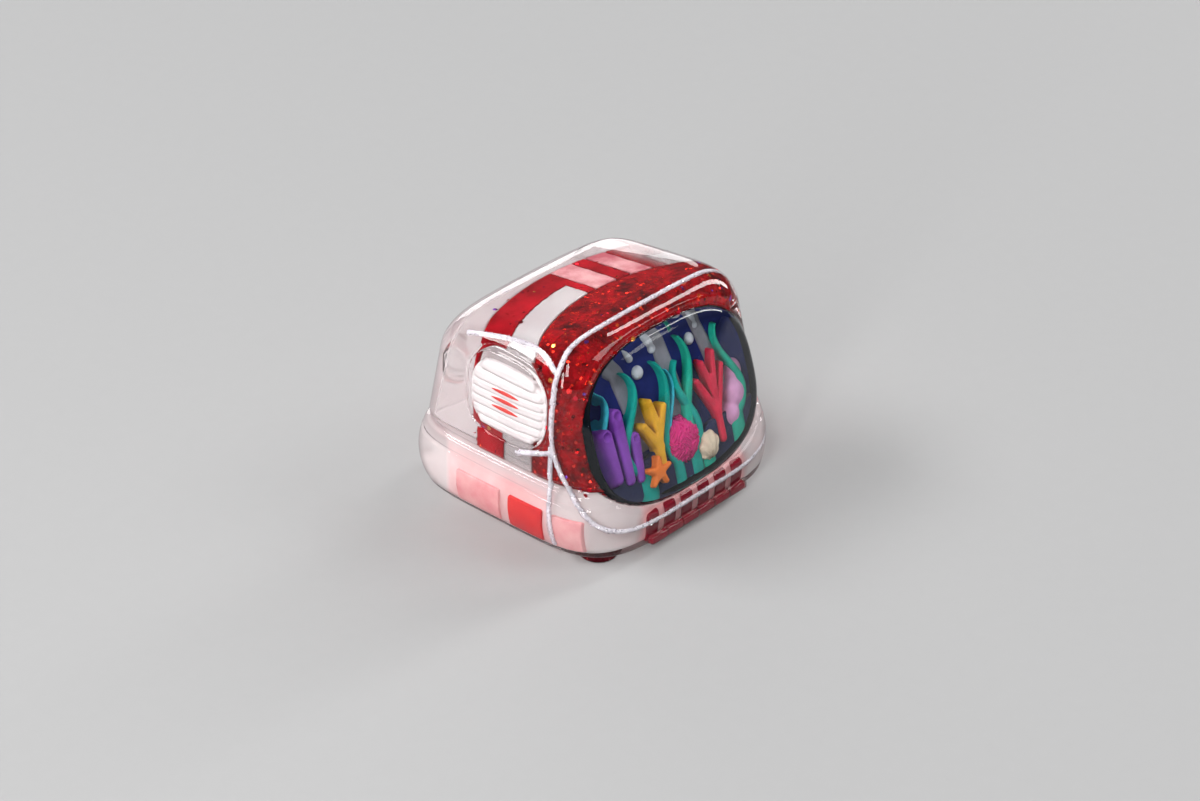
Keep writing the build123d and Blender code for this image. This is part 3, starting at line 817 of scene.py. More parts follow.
@dataclass(frozen=True)
class PinkPour(PouredResin):
    """The pink pour of the skirt, clearer at its four corners, grey as painted shade on its flat top under
    the cabinet, paling forward to white that is partly a white pour and partly a painted highlight.
    """

    pale: Colour = (0.98, 0.95, 0.95)
    # Painted sheen: the pink turns towards the pale tone where seen at a slant, over this range and up to
    # this share; the pale tone also marks the clearer corners
    sheen_slant: Place = (0.35, 1.0)
    sheen_most: float = 0.7
    # Painted shade: over these heights the top of the pour is grey where it meets the cabinet; forward, over
    # the reach below, it pales to white, partly a white pour and partly a painted highlight under the screen
    top: Place = (3.8, 4.7)
    shelf: Colour = (0.66, 0.58, 0.59)
    shelf_front: Colour = (0.95, 0.93, 0.93)
    forward: Place = (-3.6, -5.4)
    front: Colour = (0.9, 0.46, 0.46)
    front_depth: Place = (-6.4, -6.8)
    front_reach: Place = (5.2, 4.3)
    front_top: Place = (3.0, 2.6)
    corner: Place = (8.75, 9.0)
    corner_alpha: float = 0.5

    def dress(self, graph: Graph, shader: Node, out: Node) -> None:
        """Cloudy pink, blended with the other tones by place, and paler as a painted sheen where it is seen
        at a slant.
        """
        super().dress(graph, shader, out)
        pink = shader.inputs["Base Color"].links[0].from_socket
        x, y, z = graph.axes()
        across = graph.math("ABSOLUTE", x)
        outward = graph.math("ADD", across, graph.math("ABSOLUTE", y))
        corner = graph.over(graph.math("MULTIPLY", outward, math.sqrt(0.5)), self.corner)
        # Painted sheen: paler where the face is seen at a slant; the corners are paler where the pour thins
        slant = graph.span(graph.slant(), *self.sheen_slant, 0.0, self.sheen_most)
        paler = graph.blend(graph.math("MAXIMUM", corner, slant), pink, rgba(self.pale))
        bars = graph.math("MULTIPLY", graph.over(y, self.front_depth), graph.over(across, self.front_reach))
        bars = graph.math("MULTIPLY", bars, graph.over(z, self.front_top))
        paler = graph.blend(bars, paler, rgba(self.front))
        # Painted shade, grey on the top of the pour, turning forward to white that is partly a painted
        # highlight
        shelf = graph.blend(graph.over(y, self.forward), rgba(self.shelf), rgba(self.shelf_front))
        thin = graph.span(corner, 0.0, 1.0, self.alpha, self.corner_alpha)
        values = {
            "Base Color": graph.blend(graph.over(z, self.top), paler, shelf),
            "Alpha": graph.math("MAXIMUM", thin, bars),
        }
        graph.feed(shader, values)


@dataclass(frozen=True)
class RubyPour(PouredResin):
    """A ruby-red pour that thins out towards the right end of the crown."""

    end: Place = (4.4, 5.6)
    end_alpha: float = 0.15

    def dress(self, graph: Graph, shader: Node, out: Node) -> None:
        """Cloudy red with an alpha by place."""
        super().dress(graph, shader, out)
        graph.feed(shader, {"Alpha": graph.over(graph.axes()[0], self.end, (1.0, self.end_alpha))})


@dataclass(frozen=True)
class MilkPour(PouredResin):
    """A milky pour that one sees through, denser where it is seen at a slant."""

    slant_blend: float = 0.35
    slant_from: float = 0.2
    edge_alpha: float = 0.65

    def dress(self, graph: Graph, shader: Node, out: Node) -> None:
        """Cloudy white whose alpha grows towards its outline."""
        super().dress(graph, shader, out)
        slant = graph.slant(self.slant_blend)
        graph.feed(shader, {"Alpha": graph.span(slant, self.slant_from, 1.0, self.alpha, self.edge_alpha)})


@dataclass(frozen=True)
class PearlPour(PouredResin):
    """A pearly pour with a soft sheen that thins out towards its lower end and on the right."""

    end: Place = (3.6, 5.2)
    end_alpha: float = 0.1
    thin: Place = (10.0, 13.0)
    thin_alpha: float = 0.3
    metal: float = 0.3

    def dress(self, graph: Graph, shader: Node, out: Node) -> None:
        """Cloudy white with a little metal in it, and an alpha by place."""
        super().dress(graph, shader, out)
        x, _, z = graph.axes()
        lower = graph.over(z, self.thin, (self.thin_alpha, 1.0))
        right = graph.over(x, self.end, (1.0, self.end_alpha))
        graph.feed(shader, {"Metallic": self.metal, "Alpha": graph.math("MULTIPLY", lower, right)})


@dataclass(frozen=True)
class TrayPaint(PaintedClay):
    """The tray: a night-blue floor inside a rim of a darker tone."""

    rim: Colour = (0.001, 0.003, 0.006)
    facing: Point = (0.0, -0.9537, 0.3007)
    level: Place = (6.9, 7.05)
    tray_shine: float = 0.02

    def dress(self, graph: Graph, shader: Node, out: Node) -> None:
        """Brushed blue on the floor, and the darker tone from a little above it."""
        super().dress(graph, shader, out)
        blue = shader.inputs["Base Color"].links[0].from_socket
        values = {0: graph.place(), 1: self.facing}
        out_of = graph.add("ShaderNodeVectorMath", values, operation="DOT_PRODUCT").outputs["Value"]
        tone = graph.blend(graph.over(out_of, self.level), blue, rgba(self.rim))
        graph.feed(shader, {"Base Color": tone, "Specular IOR Level": self.tray_shine})


GLITTER_END = (6.3, 6.6)

CLEAR = ClearResin("clear resin", "clear_resin")
RED_GLITTER = GlitterResin(
    "red glitter resin",
    "red_glitter",
    (0.38, 0.0, 0.004),
    (0.06, 0.0, 0.001),
    (0.95, 0.04, 0.015),
    scale=900.0,
    amount=0.25,
    end=GLITTER_END,
)
RED_FOIL = FlakeFoil(
    "red glitter foil",
    "red_glitter",
    (
        (0.8, 0.03, 0.03),
        (0.55, 0.01, 0.025),
        (0.9, 0.14, 0.03),
        (0.7, 0.015, 0.04),
        (0.35, 0.1, 0.75),
        (0.6, 0.01, 0.02),
        (1.0, 0.4, 0.08),
        (0.75, 0.02, 0.03),
    ),
    end=GLITTER_END,
)
PEARL = PearlPour(
    "pearl resin", "pearl", (0.8, 0.81, 0.8), (0.64, 0.58, 0.6), 160.0, 1.0, roughness=0.3, shine=0.5
)
RUBY = RubyPour("ruby resin", "ruby_resin", (0.46, 0.003, 0.012), (0.18, 0.0, 0.003), 420.0, 1.3)
MILK = MilkPour("milky resin", "milk_resin", (0.93, 0.88, 0.88), (0.85, 0.78, 0.79), 240.0, 1.4, alpha=0.26)
WHITE_GLITTER = GlitterResin(
    "white glitter resin",
    "white_glitter",
    (0.8, 0.78, 0.83),
    (0.58, 0.55, 0.61),
    (1.0, 0.99, 1.0),
    scale=1800.0,
    flake_scale=11000.0,
    amount=0.3,
    tilt=0.7,
)
WHITE_FOIL = FlakeFoil(
    "white glitter foil",
    "white_glitter",
    ((0.95, 0.94, 0.97), (0.85, 0.84, 0.95), (0.98, 0.93, 0.95), (0.9, 0.96, 1.0)),
)
FROST = PouredResin(
    "frosted panel", "frosted_panel", (0.86, 0.83, 0.83), (0.76, 0.7, 0.71), 500.0, 0.8, alpha=0.9
)
RED_LINE = PouredResin("red inlay", "red_line", (0.8, 0.1, 0.08), (0.6, 0.04, 0.04), 800.0)
BAR_RED = PouredResin("bar red resin", "red_bar", (0.26, 0.005, 0.02), (0.14, 0.002, 0.01), 600.0)
BLOCK_RED = PouredResin("block red resin", "red_bar", (0.72, 0.045, 0.04), (0.52, 0.02, 0.03), 500.0)
ROSE = PouredResin("rose resin", "rose_resin", (0.93, 0.55, 0.55), (0.8, 0.3, 0.32), 420.0, 1.3, alpha=0.86)
CROWN_ROSE = PouredResin(
    "crown rose resin", "rose_resin", (0.84, 0.46, 0.47), (0.5, 0.12, 0.15), 520.0, 1.5, alpha=0.88
)
PINK = PinkPour("pink resin", "pink_resin", (0.96, 0.76, 0.76), (0.9, 0.5, 0.51), 260.0, 1.4, alpha=0.72)
STEM = PouredResin(
    "stem resin", "stem_resin", (0.86, 0.7, 0.7), (0.78, 0.6, 0.6), 400.0, roughness=0.35, shine=0.5
)
FOOT = GlitterResin(
    "foot glitter", "foot_glitter", (0.12, 0.006, 0.012), (0.03, 0.0, 0.003), (0.4, 0.04, 0.05)
)
TRAY = TrayPaint("night blue tray", "navy_tray", (0.022, 0.036, 0.2), 0.6)


# Geometry Nodes


class Trees:
    """Geometry Nodes trees for what follows a path or is strewn over a surface."""

    RING_CORNERS: ClassVar[int] = 10
    FLAKE_CORNERS: ClassVar[int] = 6
    FLAKE_SIZES: ClassVar[Place] = (0.35, 1.4)

    @staticmethod
    def dressed(graph: Graph, shape: Node, finish: Socket) -> Node:
        """What a tree has made, as one mesh in its finish."""
        whole = graph.add("GeometryNodeRealizeInstances", {0: shape})
        return graph.add("GeometryNodeSetMaterial", {0: whole, "Material": finish})

    @staticmethod
    @cache
    def piping() -> NodeTree:
        """A hand-laid line along a path, its thickness wandering a little."""
        graph, take, out = new_group(
            "Laid piping",
            "GeometryNodeTree",
            {"Path": "Geometry", "Radius": "Float", "Wander": "Float", "Grain": "Float"}
            | {"Spacing": "Float", "Finish": "Material"},
            {"Line": "Geometry"},
        )
        curve = graph.add("GeometryNodeMeshToCurve", {0: take["Path"]})
        values = {"Curve": curve, "Length": take["Spacing"]}
        even = graph.add("GeometryNodeResampleCurve", values, mode="LENGTH")
        noise = graph.noise(graph.add("GeometryNodeInputPosition"), take["Grain"], detail=2.0)
        values = {0: graph.math("SUBTRACT", noise, 0.5), 1: take["Wander"], 2: 1.0}
        swell = graph.add("ShaderNodeMath", values, operation="MULTIPLY_ADD")
        values = {"Resolution": Trees.RING_CORNERS, "Radius": 1.0}
        ring = graph.add("GeometryNodeCurvePrimitiveCircle", values)
        values = {
            "Curve": even,
            "Profile Curve": ring,
            "Scale": graph.math("MULTIPLY", swell, take["Radius"]),
            "Fill Caps": True,
        }
        tube = graph.add("GeometryNodeCurveToMesh", values)
        smooth = graph.add("GeometryNodeSetShadeSmooth", {0: tube})
        graph.feed(out, {0: Trees.dressed(graph, smooth, take["Finish"])})
        return graph.tree

    @staticmethod
    @cache
    def strewn() -> NodeTree:
        """Six-sided flakes strewn over a surface at random tilts and depths."""
        graph, take, out = new_group(
            "Strewn flakes",
            "GeometryNodeTree",
            {"Ground": "Geometry", "Density": "Float", "Size": "Float", "Lift": "Float"}
            | {"Seed": "Int", "Finish": "Material"},
            {"Flakes": "Geometry"},
        )
        values = {"Mesh": take["Ground"], "Density": take["Density"], "Seed": take["Seed"]}
        points = graph.add("GeometryNodeDistributePointsOnFaces", values)
        rise = graph.add("FunctionNodeRandomValue", {"Seed": take["Seed"]})
        lift = graph.math("MULTIPLY", rise.outputs[1], take["Lift"])
        shift = graph.vector("SCALE", {0: points.outputs["Normal"], "Scale": lift})
        raised = graph.add("GeometryNodeSetPosition", {"Geometry": points, "Offset": shift})
        values = {"Vertices": Trees.FLAKE_CORNERS, "Radius": 1.0}
        flake = graph.add("GeometryNodeMeshCircle", values, fill_type="NGON")
        values = {1: (math.tau, math.tau, math.tau), "Seed": take["Seed"]}
        turn = graph.add("FunctionNodeRandomValue", values, data_type="FLOAT_VECTOR")
        smallest, largest = Trees.FLAKE_SIZES
        grow = graph.add("FunctionNodeRandomValue", {2: smallest, 3: largest, "Seed": take["Seed"]})
        values = {
            "Points": raised,
            "Instance": flake,
            "Rotation": turn,
            "Scale": graph.math("MULTIPLY", grow.outputs[1], take["Size"]),
        }
        spread = graph.add("GeometryNodeInstanceOnPoints", values)
        graph.feed(out, {0: Trees.dressed(graph, spread, take["Finish"])})
        return graph.tree

    @staticmethod
    def grow(piece: Piece, tree: NodeTree, values: dict[str, Any]) -> None:
        """Run a tree on a piece and keep the result as its plain mesh.

        Args:
            piece: The object that carries the path or the ground.
            tree: The tree.
            values: Values of the tree's inputs, by name.
        """
        modifier = piece.modifiers.new(tree.name, "NODES")
        modifier.node_group = tree
        for item in tree.interface.items_tree:
            if item.item_type == "SOCKET" and item.in_out == "INPUT" and item.name in values:
                modifier[item.identifier] = values[item.name]
        bpy.context.view_layer.update()
        ready = piece.evaluated_get(bpy.context.evaluated_depsgraph_get())
        mesh = bpy.data.meshes.new_from_object(ready)
        piece.modifiers.clear()
        piece.data = mesh

    @staticmethod
    def strew(ground: Piece, foil: FlakeFoil, density: float, size: float, lift: float, seed: int) -> None:
        """Put flakes in place of the ground that they are strewn over.

        Args:
            ground: The piece that turns into the flakes.
            foil: Their finish.
            density: Flakes on each square metre.
            size: Their middling radius, in millimetres.
            lift: How far they rise above the ground, in millimetres.
            seed: Seed of the random draws.
        """
        values = {"Density": density, "Size": size * MM, "Lift": lift * MM, "Seed": seed}
        Trees.grow(ground, Trees.strewn(), values | {"Finish": foil.material()})
        settle(ground, foil)


# Sub-assemblies


@dataclass
class ClearCasting:
    """The clear casting: cabinet, flared bezel, domed screen, side lenses, front bar and lower recess."""

    form: CapForm
    screen: ScreenPlace
    grid: Box = ((-9.5, -9.3, 0.3), (9.5, 9.3, 14.4))
    step: float = 0.14
    bezel_slope: float = 0.5
    bezel_scale: float = 0.9
    bezel_round: float = 0.5
    dome_edge: float = 0.2
    dome_rise: float = 0.95
    dome_round: float = 0.68
    dome_deep: float = 1.0
    dome_fillet: float = 0.18
    window_length: float = 6.3
    window_tall: float = 5.6
    window_power: float = 3.4
    window_forward: float = 0.65
    window_height: float = 9.55
    window_proud: float = 0.4
    window_run: float = 1.6
    window_side: float = 6.0
    lens_groove: float = 0.14
    lens_round: float = 0.06
    bar_width: float = 8.8
    bar_low: float = 0.72
    bar_tall: float = 0.54
    bar_depth: Place = (-8.8, -4.0)
    bar_round: float = 0.12
    grooves: tuple[Place, ...] = ((5.2, 0.26), (4.2, 0.1))
    groove_round: float = 0.1
    recess_width: float = 12.6
    recess_depth: float = 10.8
    recess_roof: float = 4.5
    recess_round: float = 1.5
    roof_round: float = 0.2
    recess_hem: float = 0.15

    def recess(self, p: Array, margin: float) -> Array:
        """Distance outside the recess of the underside, grown by a margin."""
        x, y, z = p.T
        across, along = self.recess_width / 2 + margin, self.recess_depth / 2 + margin
        plan = round_box(x, y, across, along, self.recess_round)
        return meet(plan, z - self.recess_roof - margin, self.roof_round)

    def window(self, p: Array) -> Array:
        """Distance outside the outline of the side lenses, seen from the side."""
        y, z = p[:, 1] + self.window_forward, p[:, 2] - self.window_height
        return bowed_outline(y, z, self.window_length / 2, self.window_tall / 2, self.window_power)

    def lens(self, p: Array, body: Array) -> Array:
        """Distance outside the body with a raised lens on it, and a groove round the lens."""
        outline = self.window(p)
        raised = body - self.window_proud * np.clip(-outline / self.window_run, 0.0, 1.0) ** 0.5
        ring = np.hypot(outline, body) - self.lens_groove
        return cut(np.where(outline < 0, raised, body), ring, self.lens_round)

    def field(self, p: Array) -> Array:
        """Distance outside the whole casting."""
        x, y, z = p.T
        body = self.form.field(p)
        for level, radius in self.grooves:
            body = cut(body, np.hypot(z - level, body) - radius, self.groove_round)
        upright = between(z, self.bar_low, self.bar_low + self.bar_tall)
        bar = meet(np.abs(x) - self.bar_width / 2, upright, self.bar_round)
        bar = meet(bar, between(y, *self.bar_depth), self.bar_round)
        body = join(body, bar, self.bar_round)
        body = np.where(np.abs(x) > self.window_side, self.lens(p, body), body)
        u, v, w = self.screen.local(p)
        edge = self.screen.outline(u, v)
        flare = meet((edge - self.bezel_slope * np.maximum(w, 0.0)) * self.bezel_scale, -w)
        body = cut(body, flare, self.bezel_round)
        half = self.screen.width / 2
        radius = (half**2 + self.dome_rise**2) / (2 * self.dome_rise)
        ball = np.sqrt(u**2 + v**2 + (w - self.dome_edge - self.dome_rise + radius) ** 2) - radius
        dome = meet(meet(ball, edge, self.dome_round), -w - self.dome_deep)
        body = join(body, dome, self.dome_fillet)
        return cut(body, self.recess(p, margin=0.0), self.recess_hem)

    def build(self) -> None:
        """Mesh the casting and dress it."""
        piece = cast("clear", self.field, self.grid, self.step)
        settle(piece, CLEAR, "clear_body", "screen_dome")


@dataclass
class CabinetPours:
    """The pours inside the cabinet: the glitter bowl round the screen, two hoops and the milky core."""

    casting: ClearCasting
    grid: Box = ((-8.8, -8.6, 4.6), (8.8, 8.0, 14.0))
    front_grid: Box = ((-8.8, -8.6, 4.6), (8.8, -1.0, 14.0))
    step: float = 0.16
    collar_step: float = 0.1
    core_step: float = 0.22
    wall: float = 0.92
    floor: float = 4.95
    bowl_radius: float = 13.0
    bowl_back: float = 0.05
    hoop_thick: float = 0.6
    collar_width: float = 0.5
    collar_drop: float = 0.06
    collar_wall: float = 0.4
    collar_deep: float = 2.6
    collar_fillet: float = 0.15
    tray_lap: float = 0.2
    pearl_width: float = 1.9
    pearl_break: Place = (-0.3, 5.6)
    red_width: float = 2.0
    patches: tuple[Place, ...] = ((0.4, 2.1), (3.2, 4.6))
    patch_low: float = 10.0
    panel_inset: float = 0.4
    panel_deep: float = 0.55
    panel_side: float = 5.0
    box_inset: float = 1.95
    box_round: float = 0.3
    core_round: float = 0.1
    gap: float = 0.04
    soft: float = 0.12
    crisp: float = 0.05
    hidden_by: float = 0.1
    flake_size: float = 0.12
    flake_lift: float = 0.3
    flake_seed: int = 11
    # Flakes on each square metre, and how far they go to the right
    bowl_flakes: Place = (5.0e6, 9.0)
    hoop_flakes: Place = (1.5e6, 4.2)

    def depth(self, p: Array) -> Array:
        """Distance outside the inner face of the clear wall."""
        return self.casting.form.walls(p) + self.wall

    def storey(self, p: Array) -> Array:
        """Distance outside the space that the pours fill."""
        return meet(self.depth(p), self.floor - p[:, 2], self.soft)

    def behind(self, p: Array) -> Array:
        """Distance from the axis that the bowed pours curve round."""
        return np.hypot(p[:, 0], p[:, 1] - self.bowl_back + self.bowl_radius)

    def ahead(self, p: Array) -> Array:
        """Distance outside the space in front of the hoops, which the glitter fills."""
        return meet(self.storey(p), self.behind(p) - self.bowl_radius, self.soft)

    def panel_room(self, p: Array) -> Array:
        """Distance outside the room that the side panels take."""
        outline = self.casting.window(p) + self.panel_inset
        inner = self.depth(p) + self.panel_deep
        return np.maximum(np.maximum(outline, -inner), self.panel_side - np.abs(p[:, 0]))

    def bowl(self, p: Array) -> Array:
        """Distance outside the back of the glitter bowl."""
        shape = meet(self.ahead(p), self.casting.screen.local(p)[2] + self.collar_deep)
        shape = cut(shape, self.casting.screen.tray_room(p), self.crisp)
        return cut(shape, self.panel_room(p), self.soft)

    def collar(self, p: Array) -> Array:
        """Distance outside the front of the glitter bowl, which comes up round the tray."""
        edge, w = self.casting.screen.edge(p)
        ring = meet(edge - self.collar_width, w + self.collar_drop, self.soft)
        ring = meet(ring, self.casting.form.walls(p) + self.collar_wall, self.soft)
        ring = meet(ring, self.floor - p[:, 2], self.soft)
        shape = meet(join(self.ahead(p), ring, self.collar_fillet), -w - self.collar_deep)
        shape = meet(shape, w + self.collar_drop, self.soft)
        return cut(cut(shape, edge + self.tray_lap, self.crisp), self.panel_room(p), self.soft)

    def band(self, p: Array) -> Array:
        """Distance outside the band under the clear wall behind the bowl."""
        rear = self.bowl_radius + self.pearl_width + self.red_width
        ring = between(self.behind(p), self.bowl_radius + self.gap, rear)
        shape = meet(self.storey(p), -(self.depth(p) + self.hoop_thick), self.soft)
        return cut(meet(shape, ring, self.soft), self.panel_room(p), self.soft)

    def pearl(self, p: Array) -> Array:
        """Distance outside the pearl hoop, which is broken on the crown."""
        near = self.behind(p) - self.bowl_radius - self.pearl_width
        return meet(meet(self.band(p), near, self.crisp), -between(p[:, 0], *self.pearl_break), self.crisp)

    def patch(self, p: Array) -> Array:
        """Distance outside the rose patches on the crown."""
        strips = together(between(p[:, 0], *place) for place in self.patches)
        return meet(self.band(p), np.maximum(strips, self.patch_low - p[:, 2]), self.crisp)

    def red(self, p: Array) -> Array:
        """Distance outside the red hoop, the rest of the band."""
        return np.maximum(self.band(p), self.gap - np.minimum(self.pearl(p), self.patch(p)))

    def box(self, p: Array) -> Array:
        """Distance outside the leaning box with crisp corners that bounds the milky core."""
        form = self.casting.form
        height = p[:, 2] - form.lift
        side, back = form.side(height) - self.box_inset, form.rear(height) - self.box_inset
        return meet(np.abs(p[:, 0]) - side, p[:, 1] - back, self.box_round)

    def core(self, p: Array) -> Array:
        """Distance outside the milky core that fills the rest of the cabinet."""
        far = self.behind(p)
        shape = meet(self.storey(p), self.bowl_radius + self.gap - far, self.soft)
        shape = meet(shape, self.box(p), self.core_round)
        inner = self.depth(p) + self.hoop_thick + self.gap
        hoops = np.maximum(far - self.bowl_radius - self.pearl_width - self.red_width - self.gap, -inner)
        return cut(cut(shape, hoops, self.soft), self.panel_room(p), self.soft)

    def strew(self, piece: Piece, name: str, density: float, reach: float) -> None:
        """Strew glitter over the faces of a pour that look outwards.

        Args:
            piece: The pour.
            name: Name of the new piece.
            density: Flakes on each square metre.
            reach: How far the flakes go to the right.
        """
        flakes = new_piece(name, np.zeros((1, 3)), np.zeros((0, 3), int))
        ground = bmesh.new()
        ground.from_mesh(piece.data)
        middles = np.array([face.calc_center_median() for face in ground.faces]) / MM
        hidden = self.casting.screen.edge(middles)[0] < -self.hidden_by
        hidden |= (self.casting.form.walls(middles) < -self.wall - self.hidden_by) | (middles[:, 0] > reach)
        bmesh.ops.delete(ground, geom=[face for face, no in zip(ground.faces, hidden) if no], context="FACES")
        ground.to_mesh(flakes.data)
        ground.free()
        Trees.strew(flakes, RED_FOIL, density, self.flake_size, self.flake_lift, self.flake_seed)

    def build(self) -> None:
        """Mesh the pours, dress them and strew glitter over the bowl and the red hoop."""
        collar = cast("glitter_collar", self.collar, self.front_grid, self.collar_step)
        settle(collar, RED_GLITTER, "glitter_bowl")
        bowl = cast("glitter_bowl", self.bowl, self.grid, self.step)
        settle(bowl, RED_GLITTER)
        self.strew(collar, "bowl_flakes", *self.bowl_flakes)
        settle(cast("pearl_hoop", self.pearl, self.grid, self.step), PEARL, "pearl_hoop")
        settle(cast("rose_patches", self.patch, self.grid, self.step), CROWN_ROSE, "rose_patches")
        hoop = cast("red_hoop", self.red, self.grid, self.step)
        settle(hoop, RUBY, "red_hoop")
        self.strew(hoop, "hoop_flakes", *self.hoop_flakes)
        settle(cast("milk_core", self.core, self.grid, self.core_step), MILK, "milk_core")


@dataclass
class SidePanels:
    """The louvred white panel behind each side lens, with its short red lines."""

    casting: ClearCasting
    grid_across: Place = (5.5, 9.2)
    grid_low: Place = (-4.6, 6.4)
    grid_high: Place = (3.2, 12.8)
    step: float = 0.09
    line_step: float = 0.06
    wall: float = 0.75
    thick: float = 0.4
    middle: Place = (-0.4, 9.05)
    half: Place = (2.75, 2.05)
    power: float = 3.2
    plate_round: float = 0.1
    back_round: float = 0.05
    ribs: int = 7
    pitch: float = 0.56
    rib_tall: float = 0.5
    rib_proud: float = 0.12
    rib_inset: float = 0.1
    rib_flat: float = 0.01
    rib_round: float = 0.14
    rib_fillet: float = 0.08
    line_count: int = 3
    line_length: float = 2.3
    line_tall: float = 0.26
    line_power: float = 1.6
    line_rise: float = 0.1
    line_depth: Place = (-0.3, 0.03)
    line_round: float = 0.04

    def depth(self, p: Array) -> Array:
        """Depth under the casting's skin, counted from the panels' face."""
        return self.casting.form.walls(p) + self.wall

    def flat(self, p: Array) -> tuple[Array, Array]:
        """Coordinates along and up the panels, from their middle."""
        return p[:, 1] - self.middle[0], p[:, 2] - self.middle[1]

    def panel(self, p: Array) -> Array:
        """Distance outside both panels: a thin plate with round-ended louvres standing on it."""
        depth = self.depth(p)
        y, z = self.flat(p)
        outline = bowed_outline(y, z, *self.half, self.power)
        shape = meet(outline, depth + self.rib_proud, self.plate_round)
        shape = meet(shape, -(depth + self.thick), self.back_round)
        for level in spaced(self.ribs, self.pitch):
            share = (1.0 - (abs(level) / self.half[1]) ** self.power) ** (1 / self.power)
            reach = self.half[0] * share - self.rib_inset
            bar = round_box(y, z - level, reach, self.rib_tall / 2, self.rib_tall / 2 - self.rib_flat)
            rib = meet(meet(bar, depth, self.rib_round), -(depth + self.thick))
            shape = join(shape, rib, self.rib_fillet)
        return shape

    def lines(self, p: Array) -> Array:
        """Distance outside the red lines, which taper towards both ends."""
        y, z = self.flat(p)
        half = (self.line_length / 2, self.line_tall / 2)
        levels = [level + self.line_rise for level in spaced(self.line_count, self.pitch)]
        shape = together(bowed_outline(y, z - level, *half, self.line_power) for level in levels)
        return meet(shape, between(self.depth(p), *self.line_depth), self.line_round)

    def build(self) -> None:
        """Mesh the panels and lines of each side and dress them."""
        for side in Side:
            left, right = sorted(side.value * reach for reach in self.grid_across)
            grid = ((left, *self.grid_low), (right, *self.grid_high))
            panel = cast(f"{side.word}_vent", self.panel, grid, self.step)
            settle(panel, FROST, f"{side.word}_vent")
            lines = cast(f"{side.word}_vent_inlays", self.lines, grid, self.line_step)
            settle(lines, RED_LINE, f"{side.word}_vent_inlays")


